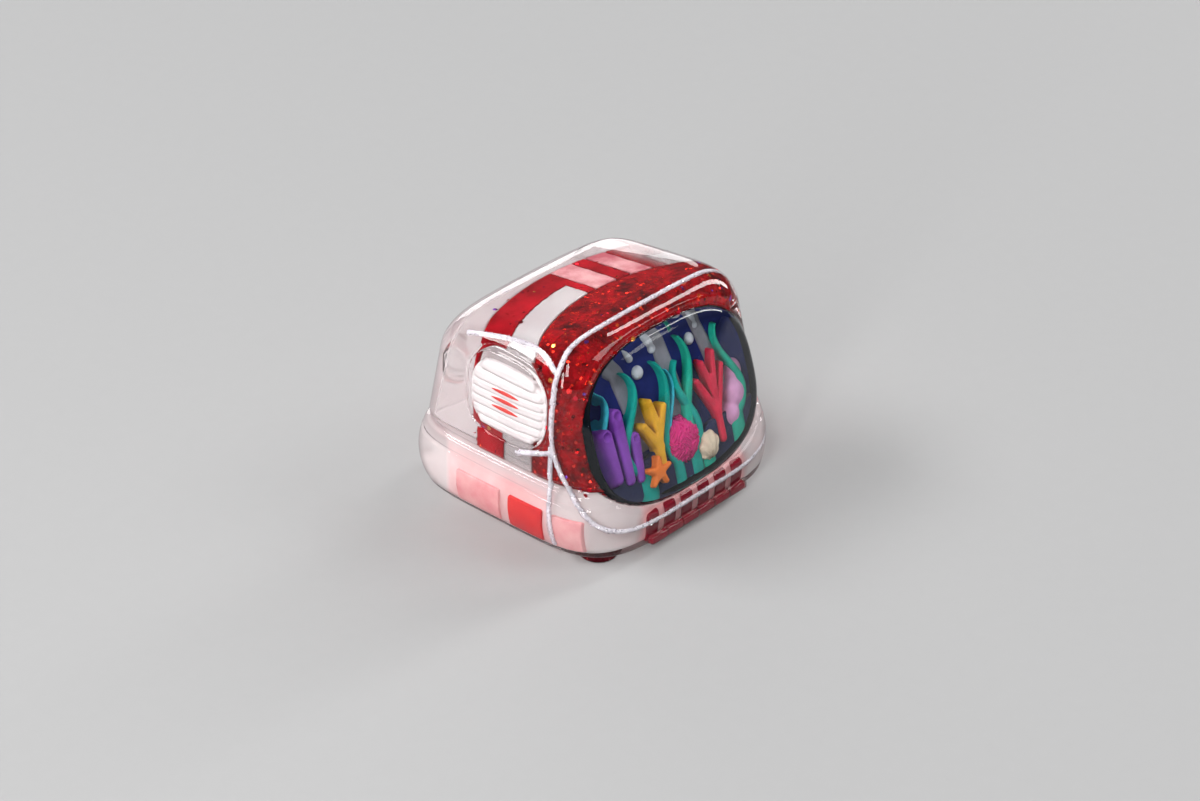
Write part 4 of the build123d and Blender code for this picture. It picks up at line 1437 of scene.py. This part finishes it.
@dataclass
class BasePours:
    """The pink pour that fills the skirt, with red bars in front and behind and blocks along its sides."""

    casting: ClearCasting
    grid: Box = ((-9.3, -9.0, 0.4), (9.3, 9.0, 5.2))
    strip_grid: Box = ((-5.0, -8.9, 0.6), (5.0, -8.0, 1.4))
    base_step: float = 0.2
    step: float = 0.12
    strip_step: float = 0.06
    wall: float = 0.6
    low: float = 0.92
    top: float = 4.87
    base_round: float = 0.25
    recess_gap: float = 0.1
    recess_round: float = 0.1
    tray_round: float = 0.05
    shell_wall: float = 0.35
    shell_thick: float = 0.6
    shell_round: float = 0.08
    block_edge: float = 0.06
    bar_count: int = 6
    bar_pitch: float = 1.55
    bar_width: float = 0.95
    bar_low: float = 0.8
    bar_tall: float = 1.8
    bar_round: float = 0.08
    bar_back: float = 3.0
    strip_close: float = 0.93
    strip_width: float = 1.3
    strip_low: float = 0.78
    strip_tall: float = 0.42
    strip_round: float = 0.06
    strip_depth: Place = (-8.64, -8.2)
    strip_edge: float = 0.05
    block_low: float = 1.05
    block_tall: float = 2.1
    block_round: float = 0.1
    block_side: float = 5.0
    red_block: Place = (-2.4, 2.7)
    rose_blocks: tuple[Place, ...] = ((-5.4, 2.0), (1.5, 3.6))

    def shell(self, p: Array) -> Array:
        """Distance outside the layer under the skin that holds the bars and blocks."""
        depth = self.casting.form.walls(p) + self.shell_wall
        return meet(depth, -(depth + self.shell_thick), self.shell_round)

    def base(self, p: Array) -> Array:
        """Distance outside the pink pour."""
        inner = self.casting.form.walls(p) + self.wall
        shape = meet(inner, between(p[:, 2], self.low, self.top), self.base_round)
        shape = cut(shape, self.casting.recess(p, self.recess_gap), self.recess_round)
        return cut(shape, self.casting.screen.tray_room(p), self.tray_round)

    def row(
        self, along: Array, up: Array, blocks: Iterable[Place], tall: float, radius: float
    ) -> Array:
        """Distance outside a row of upright blocks.

        Args:
            along: Coordinates along the row.
            up: Heights above the lower ends of the blocks.
            blocks: Middle and width of each block.
            tall: Height of the blocks.
            radius: Round of their corners.

        Returns:
            Distances.
        """
        upright = up - tall / 2
        return together(round_box(along - at, upright, wide / 2, tall / 2, radius) for at, wide in blocks)

    def bars(self, p: Array, toward: int) -> Array:
        """Distance outside the row of bars in front, or behind."""
        bars = [(middle, self.bar_width) for middle in spaced(self.bar_count, self.bar_pitch)]
        row = self.row(p[:, 0], p[:, 2] - self.bar_low, bars, self.bar_tall, self.bar_round)
        return np.maximum(meet(self.shell(p), row, self.block_edge), self.bar_back - toward * p[:, 1])

    def strip(self, p: Array) -> Array:
        """Distance outside the row of low red pieces in the clear bar under the front bars."""
        middles = spaced(self.bar_count, self.bar_pitch)
        pieces = [(middle * self.strip_close, self.strip_width) for middle in middles]
        row = self.row(p[:, 0], p[:, 2] - self.strip_low, pieces, self.strip_tall, self.strip_round)
        return meet(row, between(p[:, 1], *self.strip_depth), self.strip_edge)

    def blocks(self, p: Array, side: Side, places: Sequence[Place]) -> Array:
        """Distance outside the blocks along one side, each given by its middle and length."""
        row = self.row(p[:, 1], p[:, 2] - self.block_low, places, self.block_tall, self.block_round)
        return np.maximum(meet(self.shell(p), row, self.block_edge), self.block_side - side.value * p[:, 0])

    def build(self) -> None:
        """Mesh the pours and dress them."""
        settle(cast("pink_base", self.base, self.grid, self.base_step), PINK, "pink_base")
        for name, toward in (("front_bars", -1), ("rear_bars", 1)):
            bars = cast(name, lambda p, t=toward: self.bars(p, t), self.grid, self.step)
            settle(bars, BAR_RED, name)
        settle(cast("bar_strip", self.strip, self.strip_grid, self.strip_step), BAR_RED)
        for side in Side:
            for name, places, finish in (
                ("red_block", (self.red_block,), BLOCK_RED),
                ("rose_blocks", self.rose_blocks, ROSE),
            ):
                node = f"{side.word}_{name}"
                blocks = cast(node, lambda p, s=side, n=places: self.blocks(p, s, n), self.grid, self.step)
                settle(blocks, finish, node)


@dataclass
class Piping:
    """White glitter lines laid into the skin: a hoop round the front frame and three lines on each side."""

    form: CapForm
    radius: float = 0.16
    sunk: float = 0.2
    wander: float = 0.4
    grain: float = 3500.0
    spacing: float = 0.09
    flake_density: float = 4.0e7
    flake_size: float = 0.035
    flake_lift: float = 0.03
    flake_seed: int = 5
    rounding: int = 4
    hoop_points: int = 480
    hoop_curve_points: int = 200
    hoop_middle: float = 7.2
    hoop_far: float = 14.0
    line_points: int = 120
    line_far: float = 12.0
    hoop_line: tuple[Place, ...] = (
        (5.25, 16.0), (4.85, 12.9), (4.55, 12.1), (4.5, 10.5), (4.55, 8.4), (4.4, 6.9), (3.85, 5.6),
        (2.9, 4.2), (1.8, 2.9), (0.7, 1.9), (-0.6, 1.0),
    )
    branch_line: tuple[Place, ...] = ((4.5, 7.0), (4.4, 4.0), (3.9, 0.6))
    shoulder_line: tuple[Place, ...] = (
        (4.55, 11.65), (5.5, 12.2), (6.6, 12.4), (8.6, 12.2), (10.8, 11.8), (12.0, 11.5),
    )
    lower_line: tuple[Place, ...] = ((4.45, 6.6), (7.1, 5.6))

    def run(self, line: Sequence[Place], count: int) -> Array:
        """Even places along a smooth line.

        Args:
            line: Places back from the front and up from the skirt's lower edge.
            count: Number of places to return.

        Returns:
            Places along Y and up Z.
        """
        known = np.array([(back - self.form.front, up + self.form.lift) for back, up in line])
        for _ in range(self.rounding):
            near = 0.75 * known[:-1] + 0.25 * known[1:]
            far = 0.25 * known[:-1] + 0.75 * known[1:]
            known = np.concatenate([known[:1], np.stack([near, far], 1).reshape(-1, 2), known[-1:]])
        length = np.concatenate([[0.0], np.cumsum(np.linalg.norm(np.diff(known, axis=0), axis=1))])
        share = np.linspace(0.0, length[-1], count)
        return np.stack([np.interp(share, length, known[:, axis]) for axis in range(2)], 1)

    def under_skin(self, points: Field, count: int, far: float) -> Array:
        """Points where lines come up to the depth of the piping under the skin.

        Args:
            points: Gives the point at a reach on each line.
            count: Number of lines.
            far: A reach that lies outside the cap on every line.

        Returns:
            One point on each line.
        """
        return points(way_out(lambda reach: self.form.field(points(reach)) > -self.sunk, count, far))

    def hoop(self) -> Array:
        """Points round the front frame, where one curve seen from the side meets the skin."""
        turn = np.linspace(0.0, math.tau, self.hoop_points, endpoint=False)
        curve = self.run(self.hoop_line, self.hoop_curve_points)[::-1]

        def ring(reach: Array) -> Array:
            """Points round the hoop's middle that lie on the curve, seen from the side."""
            z = self.hoop_middle + reach * np.sin(turn)
            return np.stack([reach * np.cos(turn), np.interp(z, curve[:, 1], curve[:, 0]), z], 1)

        return self.under_skin(ring, self.hoop_points, self.hoop_far)

    def side_line(self, side: Side, line: Sequence[Place]) -> Array:
        """Points of a line a little under the skin of one side."""
        places = self.run(line, self.line_points)

        def outward(reach: Array) -> Array:
            """Points of the line at a reach to its side."""
            return np.column_stack([side.value * reach, places])

        return self.under_skin(outward, self.line_points, self.line_far)

    def lay(self, name: str, lines: Sequence[Array], closed: bool) -> None:
        """Lay lines as one glitter piece, and strew flakes over it.

        Args:
            name: CAD node that the piece stands for.
            lines: Points of each line.
            closed: Whether the lines are closed.
        """
        edges, first = [], 0
        for line in lines:
            count = len(line)
            run = np.arange(count if closed else count - 1)
            edges.append(first + np.stack([run, (run + 1) % count], 1))
            first += count
        piece = new_piece(name + "_line", np.concatenate(lines), np.concatenate(edges))
        values = {"Radius": self.radius * MM, "Wander": self.wander, "Grain": self.grain}
        values |= {"Spacing": self.spacing * MM, "Finish": WHITE_GLITTER.material()}
        Trees.grow(piece, Trees.piping(), values)
        flakes = piece.copy()
        flakes.name = name + "_flakes"
        flakes.data = piece.data.copy()
        show(flakes)
        settle(piece, WHITE_GLITTER, name)
        sizes = (self.flake_density, self.flake_size, self.flake_lift, self.flake_seed)
        Trees.strew(flakes, WHITE_FOIL, *sizes)

    def build(self) -> None:
        """Lay the hoop and the lines of each side."""
        self.lay("frame_piping", [self.hoop()], closed=True)
        for side in Side:
            lines = (self.branch_line, self.shoulder_line, self.lower_line)
            self.lay(f"{side.word}_piping", [self.side_line(side, line) for line in lines], closed=False)


@dataclass
class Underside:
    """The stem post with its cross slot, and the four glitter feet."""

    stem_grid: Box = ((-3.2, -3.2, 0.6), (3.2, 3.2, 4.8))
    feet_grid: Box = ((-7.8, -7.6, -0.2), (7.8, 7.6, 0.9))
    step: float = 0.1
    stem_radius: float = 2.8
    stem_heights: Place = (0.9, 4.52)
    stem_round: float = 0.15
    slot_length: float = 4.1
    slot_width: float = 1.3
    slot_cross: float = 1.15
    slot_roof: float = 4.3
    slot_round: float = 0.08
    slot_lead: float = 0.12
    foot_radius: float = 1.2
    foot_spread: Place = (6.3, 6.1)
    foot_heights: Place = (0.0, 0.64)
    foot_round: float = 0.2

    def stem(self, p: Array) -> Array:
        """Distance outside the stem post."""
        x, y, z = p.T
        post = meet(np.hypot(x, y) - self.stem_radius, between(z, *self.stem_heights), self.stem_round)
        long = round_box(x, y, self.slot_length / 2, self.slot_cross / 2, self.slot_round)
        cross = round_box(x, y, self.slot_width / 2, self.slot_length / 2, self.slot_round)
        return cut(post, np.maximum(np.minimum(long, cross), z - self.slot_roof), self.slot_lead)

    def feet(self, p: Array) -> Array:
        """Distance outside the feet."""
        x, y = np.abs(p[:, 0]) - self.foot_spread[0], np.abs(p[:, 1]) - self.foot_spread[1]
        heights = between(p[:, 2], *self.foot_heights)
        return meet(np.hypot(x, y) - self.foot_radius, heights, self.foot_round)

    def build(self) -> None:
        """Mesh the stem and the feet and dress them."""
        settle(cast("stem_post", self.stem, self.stem_grid, self.step), STEM, "stem_post")
        settle(cast("feet", self.feet, self.feet_grid, self.step), FOOT, "feet")


@dataclass
class Relief:
    """The dark tray behind the screen and the painted coral garden on its floor."""

    screen: ScreenPlace
    grid: Box = ((-7.8, -8.9, 2.0), (7.8, -2.4, 13.6))
    step: float = 0.07
    tray_step: float = 0.09
    tray_depth: float = 2.2
    tray_top: float = -0.08
    tray_wall: float = 0.4
    tray_floor: float = 0.4
    tray_round: float = 0.06
    pocket_round: float = 0.15
    rim_lap: float = 0.22
    room_gap: float = 0.06
    room_lift: Place = (-0.1, 1.65)
    top_round: float = 0.24
    branch_root: float = 0.6
    branch_taper: float = 0.16
    branch_fillet: float = 0.08
    fan_width: float = 0.42
    fan: tuple[Branch, ...] = (
        ((3.3, -3.6), (3.3, 0.4)), ((3.3, -1.9), (2.1, 0.5)), ((3.3, -1.9), (4.4, 0.7)),
        ((3.3, -0.7), (2.8, 1.4)), ((3.3, -0.7), (3.9, 1.7)),
    )
    staghorn_width: float = 0.5
    staghorn: tuple[Branch, ...] = (
        ((-2.0, -3.2), (-1.8, -0.6)), ((-1.9, -1.9), (-2.8, -0.3)), ((-1.85, -1.4), (-1.0, 0.3)),
        ((-1.8, -0.6), (-2.0, 0.9)),
    )
    tubes: tuple[tuple[Place, Place, float], ...] = (
        ((-5.4, -2.6), (-5.6, 0.2), 0.9), ((-4.5, -3.0), (-4.5, 1.1), 0.8),
        ((-3.7, -3.2), (-3.5, -0.7), 0.7),
    )
    tube_root: float = 0.4
    tube_flare: float = 0.1
    tube_top: float = 1.1
    tube_round: float = 0.3
    mouth_level: float = 1.15
    mouth_share: float = 0.34
    mouth_round: float = 0.06
    sponge_balls: tuple[Point, ...] = ((5.3, -1.5, 1.1), (4.7, -2.6, 1.0), (5.6, -0.3, 0.8))
    sponge_fillet: float = 0.15
    blade_root: float = 0.56
    blade_taper: float = 0.4
    teal_width: float = 0.55
    teal_blades: tuple[tuple[Place, ...], ...] = (
        ((-0.6, -3.4), (-0.9, -0.8), (-0.2, 1.2), (-0.7, 2.9)),
        ((0.9, -3.4), (1.3, -0.9), (0.6, 1.0), (1.0, 2.3)),
        ((-3.1, -3.2), (-3.5, 0.2), (-2.7, 1.6), (-3.2, 3.2)),
    )
    tall_width: float = 0.6
    tall_blades: tuple[tuple[Place, ...], ...] = (
        ((4.9, -2.8), (5.2, 0.6), (4.6, 2.0), (4.9, 3.1)),
        ((1.9, -3.4), (1.5, 0.4), (2.0, 1.8), (1.6, 3.6)),
    )
    cyan_width: float = 0.4
    cyan_blades: tuple[tuple[Place, ...], ...] = (
        ((-5.0, -3.0), (-5.2, 0.8), (-4.8, 1.8), (-5.2, 2.7)),
        ((0.2, -3.4), (0.1, 0.2), (0.4, 1.3), (0.1, 2.1)),
    )
    bubble_balls: tuple[Point, ...] = (
        (-0.2, 3.5, 0.3), (-1.7, 2.6, 0.42), (-2.0, 3.6, 0.26), (2.8, 2.9, 0.38), (3.5, 3.5, 0.26),
    )
    bed_line: tuple[Place, ...] = (
        (-8.0, -2.1), (-4.6, -2.5), (-1.6, -2.0), (1.4, -2.6), (4.4, -2.0), (8.0, -2.4),
    )
    bed_ripple: Place = (0.12, 3.0)
    rays: tuple[tuple[float, float, float, float], ...] = (
        (-3.95, -2.1, 0.45, 0.9), (0.15, 0.85, 0.45, 0.85), (3.0, 4.9, 0.4, 0.7),
    )
    ray_top: float = 6.0
    ray_foot: float = -2.0
    ray_reach: float = 1.2
    star_place: Place = (-2.5, -3.3)
    star_arms: int = 5
    star_turn: float = 12.0
    star_reach: float = 0.85
    star_root: float = 0.33
    star_taper: float = 0.17
    star_fillet: float = 0.1
    shell_place: Place = (2.0, -3.5)
    shell_radius: float = 0.9
    shell_flat: float = 0.6
    shell_ribs: float = 14.0
    shell_rib: float = 0.05
    brain_place: Place = (0.1, -2.4)
    brain_radius: float = 1.5
    furrow_across: Point = (7.0, 1.8, 4.2)
    furrow_up: Point = (6.0, 1.6, 4.8)
    furrow_sharp: float = 4.0
    furrow_deep: float = 0.07

    def above(self, p: Array) -> tuple[Array, Array, Array]:
        """Coordinates across and up the screen, and the height above the tray's floor."""
        u, v, w = self.screen.local(p)
        return u, v, w + self.tray_depth - self.tray_floor

    def tray(self, p: Array) -> Array:
        """Distance outside the tray."""
        edge, w = self.screen.edge(p)
        block = meet(edge + self.rim_lap, between(w, -self.tray_depth, self.tray_top), self.tray_round)
        pocket = meet(edge + self.tray_wall, self.tray_floor - self.tray_depth - w, self.pocket_round)
        return cut(block, pocket, self.tray_round)

    def room(self, u: Array, v: Array, lift: Array) -> Array:
        """Distance outside the room for the relief, with a foot sunk into the tray's floor."""
        edge = self.screen.outline(u, v) + self.tray_wall + self.room_gap
        return np.maximum(edge, between(lift, *self.room_lift))

    def raised(self, plan: Plan, top: float) -> Field:
        """A flat shape of the relief raised to a height, with a soft round along its top.

        Args:
            plan: Distance outside the shape, seen from the front.
            top: Height above the tray's floor.

        Returns:
            The field of the raised shape.
        """

        def shape(p: Array) -> Array:
            """Distance outside the raised shape."""
            u, v, lift = self.above(p)
            return np.maximum(meet(plan(u, v), lift - top, self.top_round), self.room(u, v, lift))

        return shape

    def strokes(self, lines: Sequence[Branch], width: float) -> Plan:
        """A plan of branches that thin out towards their tips."""

        def plan(u: Array, v: Array) -> Array:
            """Distance outside the branches."""
            runs = (from_line(u, v, start, end) for start, end in lines)
            shapes = (away - width * (self.branch_root - self.branch_taper * along) for away, along in runs)
            return together(shapes, self.branch_fillet)

        return plan

    def blades(self, lines: Sequence[Sequence[Place]], width: float) -> Plan:
        """A plan of waving blades that taper towards their tips."""

        def blade(u: Array, v: Array, line: Sequence[Place]) -> Array:
            """Distance outside one blade."""
            height = np.array([place[1] for place in line])
            fit = np.polyfit(height, [place[0] for place in line], 3)
            share = np.clip((v - height[0]) / (height[-1] - height[0]), 0.0, 1.0)
            level = np.clip(v, height[0], height[-1])
            lean = np.polyval(np.polyder(fit), level)
            away = np.abs(u - np.polyval(fit, level)) / np.sqrt(1.0 + lean**2)
            return np.maximum(away - width * (self.blade_root - self.blade_taper * share**2), v - height[-1])

        return lambda u, v: together(blade(u, v, line) for line in lines)

    def balls(self, places: Sequence[Point], fillet: float) -> Field:
        """The field of half balls on the tray's floor."""

        def shape(p: Array) -> Array:
            """Distance outside the half balls."""
            u, v, lift = self.above(p)
            rounds = (np.sqrt((u - x) ** 2 + (v - y) ** 2 + lift**2) - radius for x, y, radius in places)
            return np.maximum(together(rounds, fillet), self.room(u, v, lift))

        return shape

    def star(self, u: Array, v: Array) -> Array:
        """Distance outside the star with its round arms."""
        arms = []
        for arm in range(self.star_arms):
            turn = math.radians(self.star_turn + 360.0 / self.star_arms * arm)
            x, y = self.star_place
            tip = (x + self.star_reach * math.cos(turn), y + self.star_reach * math.sin(turn))
            away, along = from_line(u, v, self.star_place, tip)
            arms.append(away - self.star_root + self.star_taper * along)
        return together(arms, self.star_fillet)

    def shell(self, p: Array) -> Array:
        """Distance outside the ribbed shell."""
        u, v, lift = self.above(p)
        x, y = u - self.shell_place[0], v - self.shell_place[1]
        turn = np.arctan2(x, y + self.shell_radius)
        ball = np.sqrt(x**2 + y**2 + (np.maximum(lift - self.shell_flat, 0.0)) ** 2) - self.shell_radius
        return np.maximum(ball + self.shell_rib * np.cos(turn * self.shell_ribs), self.room(u, v, lift))

    def brain(self, p: Array) -> Array:
        """Distance outside the round coral, with winding furrows."""
        u, v, lift = self.above(p)
        x, y = u - self.brain_place[0], v - self.brain_place[1]
        ball = np.sqrt(x**2 + y**2 + lift**2) - self.brain_radius
        often, swing, wave = self.furrow_across
        wind = np.sin(often * x + swing * np.sin(wave * y))
        often, swing, wave = self.furrow_up
        wind = wind * np.sin(often * y + swing * np.sin(wave * x))
        furrows = self.furrow_deep * np.sin(self.furrow_sharp * wind)
        return np.maximum(ball + furrows, self.room(u, v, lift))

    def mouths(self, p: Array) -> Array:
        """Distance outside the tube sponges with their open mouths."""
        u, v, lift = self.above(p)
        tubes, holes = [], []
        for start, end, width in self.tubes:
            away, along = from_line(u, v, start, end)
            tubes.append(away - width * (self.tube_root + self.tube_flare * along))
            mouth = np.sqrt((u - end[0]) ** 2 + (v - end[1]) ** 2 + (lift - self.mouth_level) ** 2)
            holes.append(mouth - width * self.mouth_share)
        shape = meet(together(tubes), lift - self.tube_top, self.tube_round)
        return np.maximum(cut(shape, together(holes), self.mouth_round), self.room(u, v, lift))

    def bed(self, u: Array, v: Array) -> Array:
        """Distance above the wavy top of the sea bed."""
        edge = np.interp(u, [place[0] for place in self.bed_line], [place[1] for place in self.bed_line])
        return v - edge - self.bed_ripple[0] * np.sin(self.bed_ripple[1] * u)

    def beams(self, u: Array, v: Array) -> Array:
        """Distance outside the slanting light rays, which widen downwards."""
        share = np.clip((self.ray_top - v) / (self.ray_top - self.ray_foot), 0.0, self.ray_reach)
        rays = []
        for top, foot, narrow, wide in self.rays:
            away = np.abs(u - top - (foot - top) * share) - narrow - (wide - narrow) * share
            rays.append(np.maximum(away, self.ray_foot - v))
        return together(rays)

    def build(self) -> None:
        """Mesh the tray and the relief and dress them."""
        settle(cast("screen_tray", self.tray, self.grid, self.tray_step), TRAY, "screen_tray")
        fan = self.strokes(self.fan, self.fan_width)
        staghorn = self.strokes(self.staghorn, self.staghorn_width)
        teal = self.blades(self.teal_blades, self.teal_width)
        tall = self.blades(self.tall_blades, self.tall_width)
        cyan = self.blades(self.cyan_blades, self.cyan_width)
        sponge = self.balls(self.sponge_balls, self.sponge_fillet)
        pieces = (
            ("fan_coral", "coral_crimson", (0.72, 0.02, 0.07), self.raised(fan, top=1.2)),
            ("staghorn_coral", "coral_mustard", (0.85, 0.46, 0.03), self.raised(staghorn, top=1.3)),
            ("teal_weed", "weed_teal", (0.005, 0.42, 0.36), self.raised(teal, top=0.9)),
            ("tall_weed", "weed_green", (0.01, 0.48, 0.34), self.raised(tall, top=0.9)),
            ("cyan_weed", "weed_cyan", (0.06, 0.62, 0.8), self.raised(cyan, top=0.7)),
            ("orange_star", "star_orange", (0.9, 0.22, 0.03), self.raised(self.star, top=1.5)),
            ("sea_bed", "bed_sand", (0.02, 0.03, 0.1), self.raised(self.bed, top=0.7)),
            ("light_rays", "ray_grey", (0.3, 0.31, 0.36), self.raised(self.beams, top=0.15)),
            ("cream_shell", "shell_cream", (0.86, 0.74, 0.56), self.shell),
            ("brain_coral", "coral_magenta", (0.8, 0.03, 0.26), self.brain),
            ("purple_tubes", "tube_purple", (0.26, 0.07, 0.5), self.mouths),
            ("lilac_sponge", "sponge_lilac", (0.8, 0.42, 0.72), sponge),
            ("bubbles", "bubble_pale", (0.75, 0.82, 0.9), self.balls(self.bubble_balls, fillet=0.0)),
        )
        for name, slot, colour, shape in pieces:
            piece = cast(name, shape, self.grid, self.step)
            settle(piece, PaintedClay(f"{name} paint", slot, colour), name)


# Studio


@dataclass(frozen=True)
class Lamp:
    """A soft lamp; its level is the brightness of a white card that faces it where the cap stands."""

    name: str
    place: Point
    size: Place
    level: float
    colour: Colour = (1.0, 1.0, 1.0)

    def hang(self, target: Point) -> None:
        """Hang the lamp so that it looks at the target."""
        light = bpy.data.lights.new(self.name, "AREA")
        light.shape = "RECTANGLE"
        light.size, light.size_y = self.size[0] * MM, self.size[1] * MM
        away = (Vector(self.place) - Vector(target)) * MM
        light.energy = self.level * math.pi**2 * away.length_squared
        light.color = self.colour
        lamp = bpy.data.objects.new(self.name, light)
        lamp.location = Vector(self.place) * MM
        lamp.rotation_euler = (-away).to_track_quat("-Z", "Y").to_euler()
        show(lamp)


@dataclass
class Studio:
    """A pale floor, soft lamps and the camera of the photograph."""

    grey: float = 0.545
    fibre: float = 0.985
    fibre_scale: float = 900.0
    floor_half: float = 900.0
    backdrop: float = 0.57
    room_low: Colour = (0.05, 0.05, 0.055)
    room_high: Colour = (0.17, 0.17, 0.175)
    room_rise: float = 0.35
    target: Point = (0.0, -0.25, 6.6)
    azimuth: float = -47.7
    elevation: float = 31.2
    distance: float = 200.0
    sensor: float = 36.0
    lens: float = 97.56
    shift: Place = (0.0025, -0.0128)
    clip: Place = (0.01, 10.0)
    lamps: tuple[Lamp, ...] = (
        Lamp("rear left key", (-160.0, 176.0, 220.0), (190.0, 80.0), 0.52),
        Lamp("overhead right", (253.0, -27.0, 166.0), (36.0, 260.0), 0.36),
        Lamp("front fill", (148.0, -176.0, 199.0), (120.0, 120.0), 0.2),
        Lamp("near left fill", (-170.0, -98.0, 203.0), (36.0, 150.0), 0.26),
        Lamp("left strip", (-223.0, -73.0, 92.0), (26.0, 170.0), 0.3, (1.0, 0.99, 0.98)),
        Lamp("low back card", (147.0, 214.0, 47.0), (184.0, 92.0), 0.24),
    )

    def floor(self) -> None:
        """A wide paper floor with a faint fibre."""
        corners = np.array([(-1.0, -1.0, 0.0), (1.0, -1.0, 0.0), (1.0, 1.0, 0.0), (-1.0, 1.0, 0.0)])
        floor = new_piece("floor", corners * self.floor_half, np.array([[0, 1, 2, 3]]))
        material = bpy.data.materials.new("grey paper")
        material.use_nodes = True
        graph = Graph(material.node_tree)
        fibre = Effects.cloud(graph, (self.grey,) * 3, (self.grey * self.fibre,) * 3, self.fibre_scale)
        values = {"Base Color": fibre.outputs["Color"], "Roughness": 0.9, "Specular IOR Level": 0.1}
        graph.feed(material.node_tree.nodes["Principled BSDF"], values)
        floor.data.materials.append(material)

    def world(self) -> None:
        """An even grey room, a little darker low down, with the photograph's plain grey behind the object."""
        world = bpy.data.worlds.new("grey room")
        bpy.context.scene.world = world
        world.use_nodes = True
        graph = Graph(world.node_tree)
        where = graph.add("ShaderNodeTexCoord").outputs["Generated"]
        up = graph.add("ShaderNodeSeparateXYZ", {0: where}).outputs[2]
        room = graph.blend(graph.span(up, 0.0, self.room_rise), rgba(self.room_low), rgba(self.room_high))
        seen = graph.add("ShaderNodeLightPath").outputs["Is Camera Ray"]
        shown = graph.blend(seen, room, rgba((self.backdrop,) * 3))
        graph.feed(world.node_tree.nodes["Background"], {"Color": shown})

    def camera(self) -> None:
        """The camera at the photograph's angle, with its framing."""
        turn, rise = math.radians(self.azimuth), math.radians(self.elevation)
        back = Vector((math.sin(turn) * math.cos(rise), -math.cos(turn) * math.cos(rise), math.sin(rise)))
        data = bpy.data.cameras.new("camera")
        data.sensor_width = self.sensor
        data.lens = self.lens
        data.shift_x, data.shift_y = self.shift
        data.clip_start, data.clip_end = self.clip
        camera = bpy.data.objects.new("camera", data)
        camera.location = (Vector(self.target) + back * self.distance) * MM
        camera.rotation_euler = (-back).to_track_quat("-Z", "Y").to_euler()
        show(camera)
        bpy.context.scene.camera = camera

    def build(self) -> None:
        """Set up the whole studio."""
        bpy.context.scene.view_settings.view_transform = "Standard"
        self.floor()
        self.world()
        for lamp in self.lamps:
            lamp.hang(self.target)
        self.camera()


def main() -> None:
    """Build the cap's pieces in order."""
    logging.basicConfig(level=logging.INFO, format="%(name)s %(message)s", stream=sys.stdout)
    screen = ScreenPlace()
    casting = ClearCasting(CapForm(), screen)
    for part in (
        Studio(),
        casting,
        CabinetPours(casting),
        SidePanels(casting),
        BasePours(casting),
        Piping(casting.form),
        Underside(),
        Relief(screen),
    ):
        part.build()
        LOG.info("built %s", type(part).__name__)


if __name__ == "__main__":
    main()
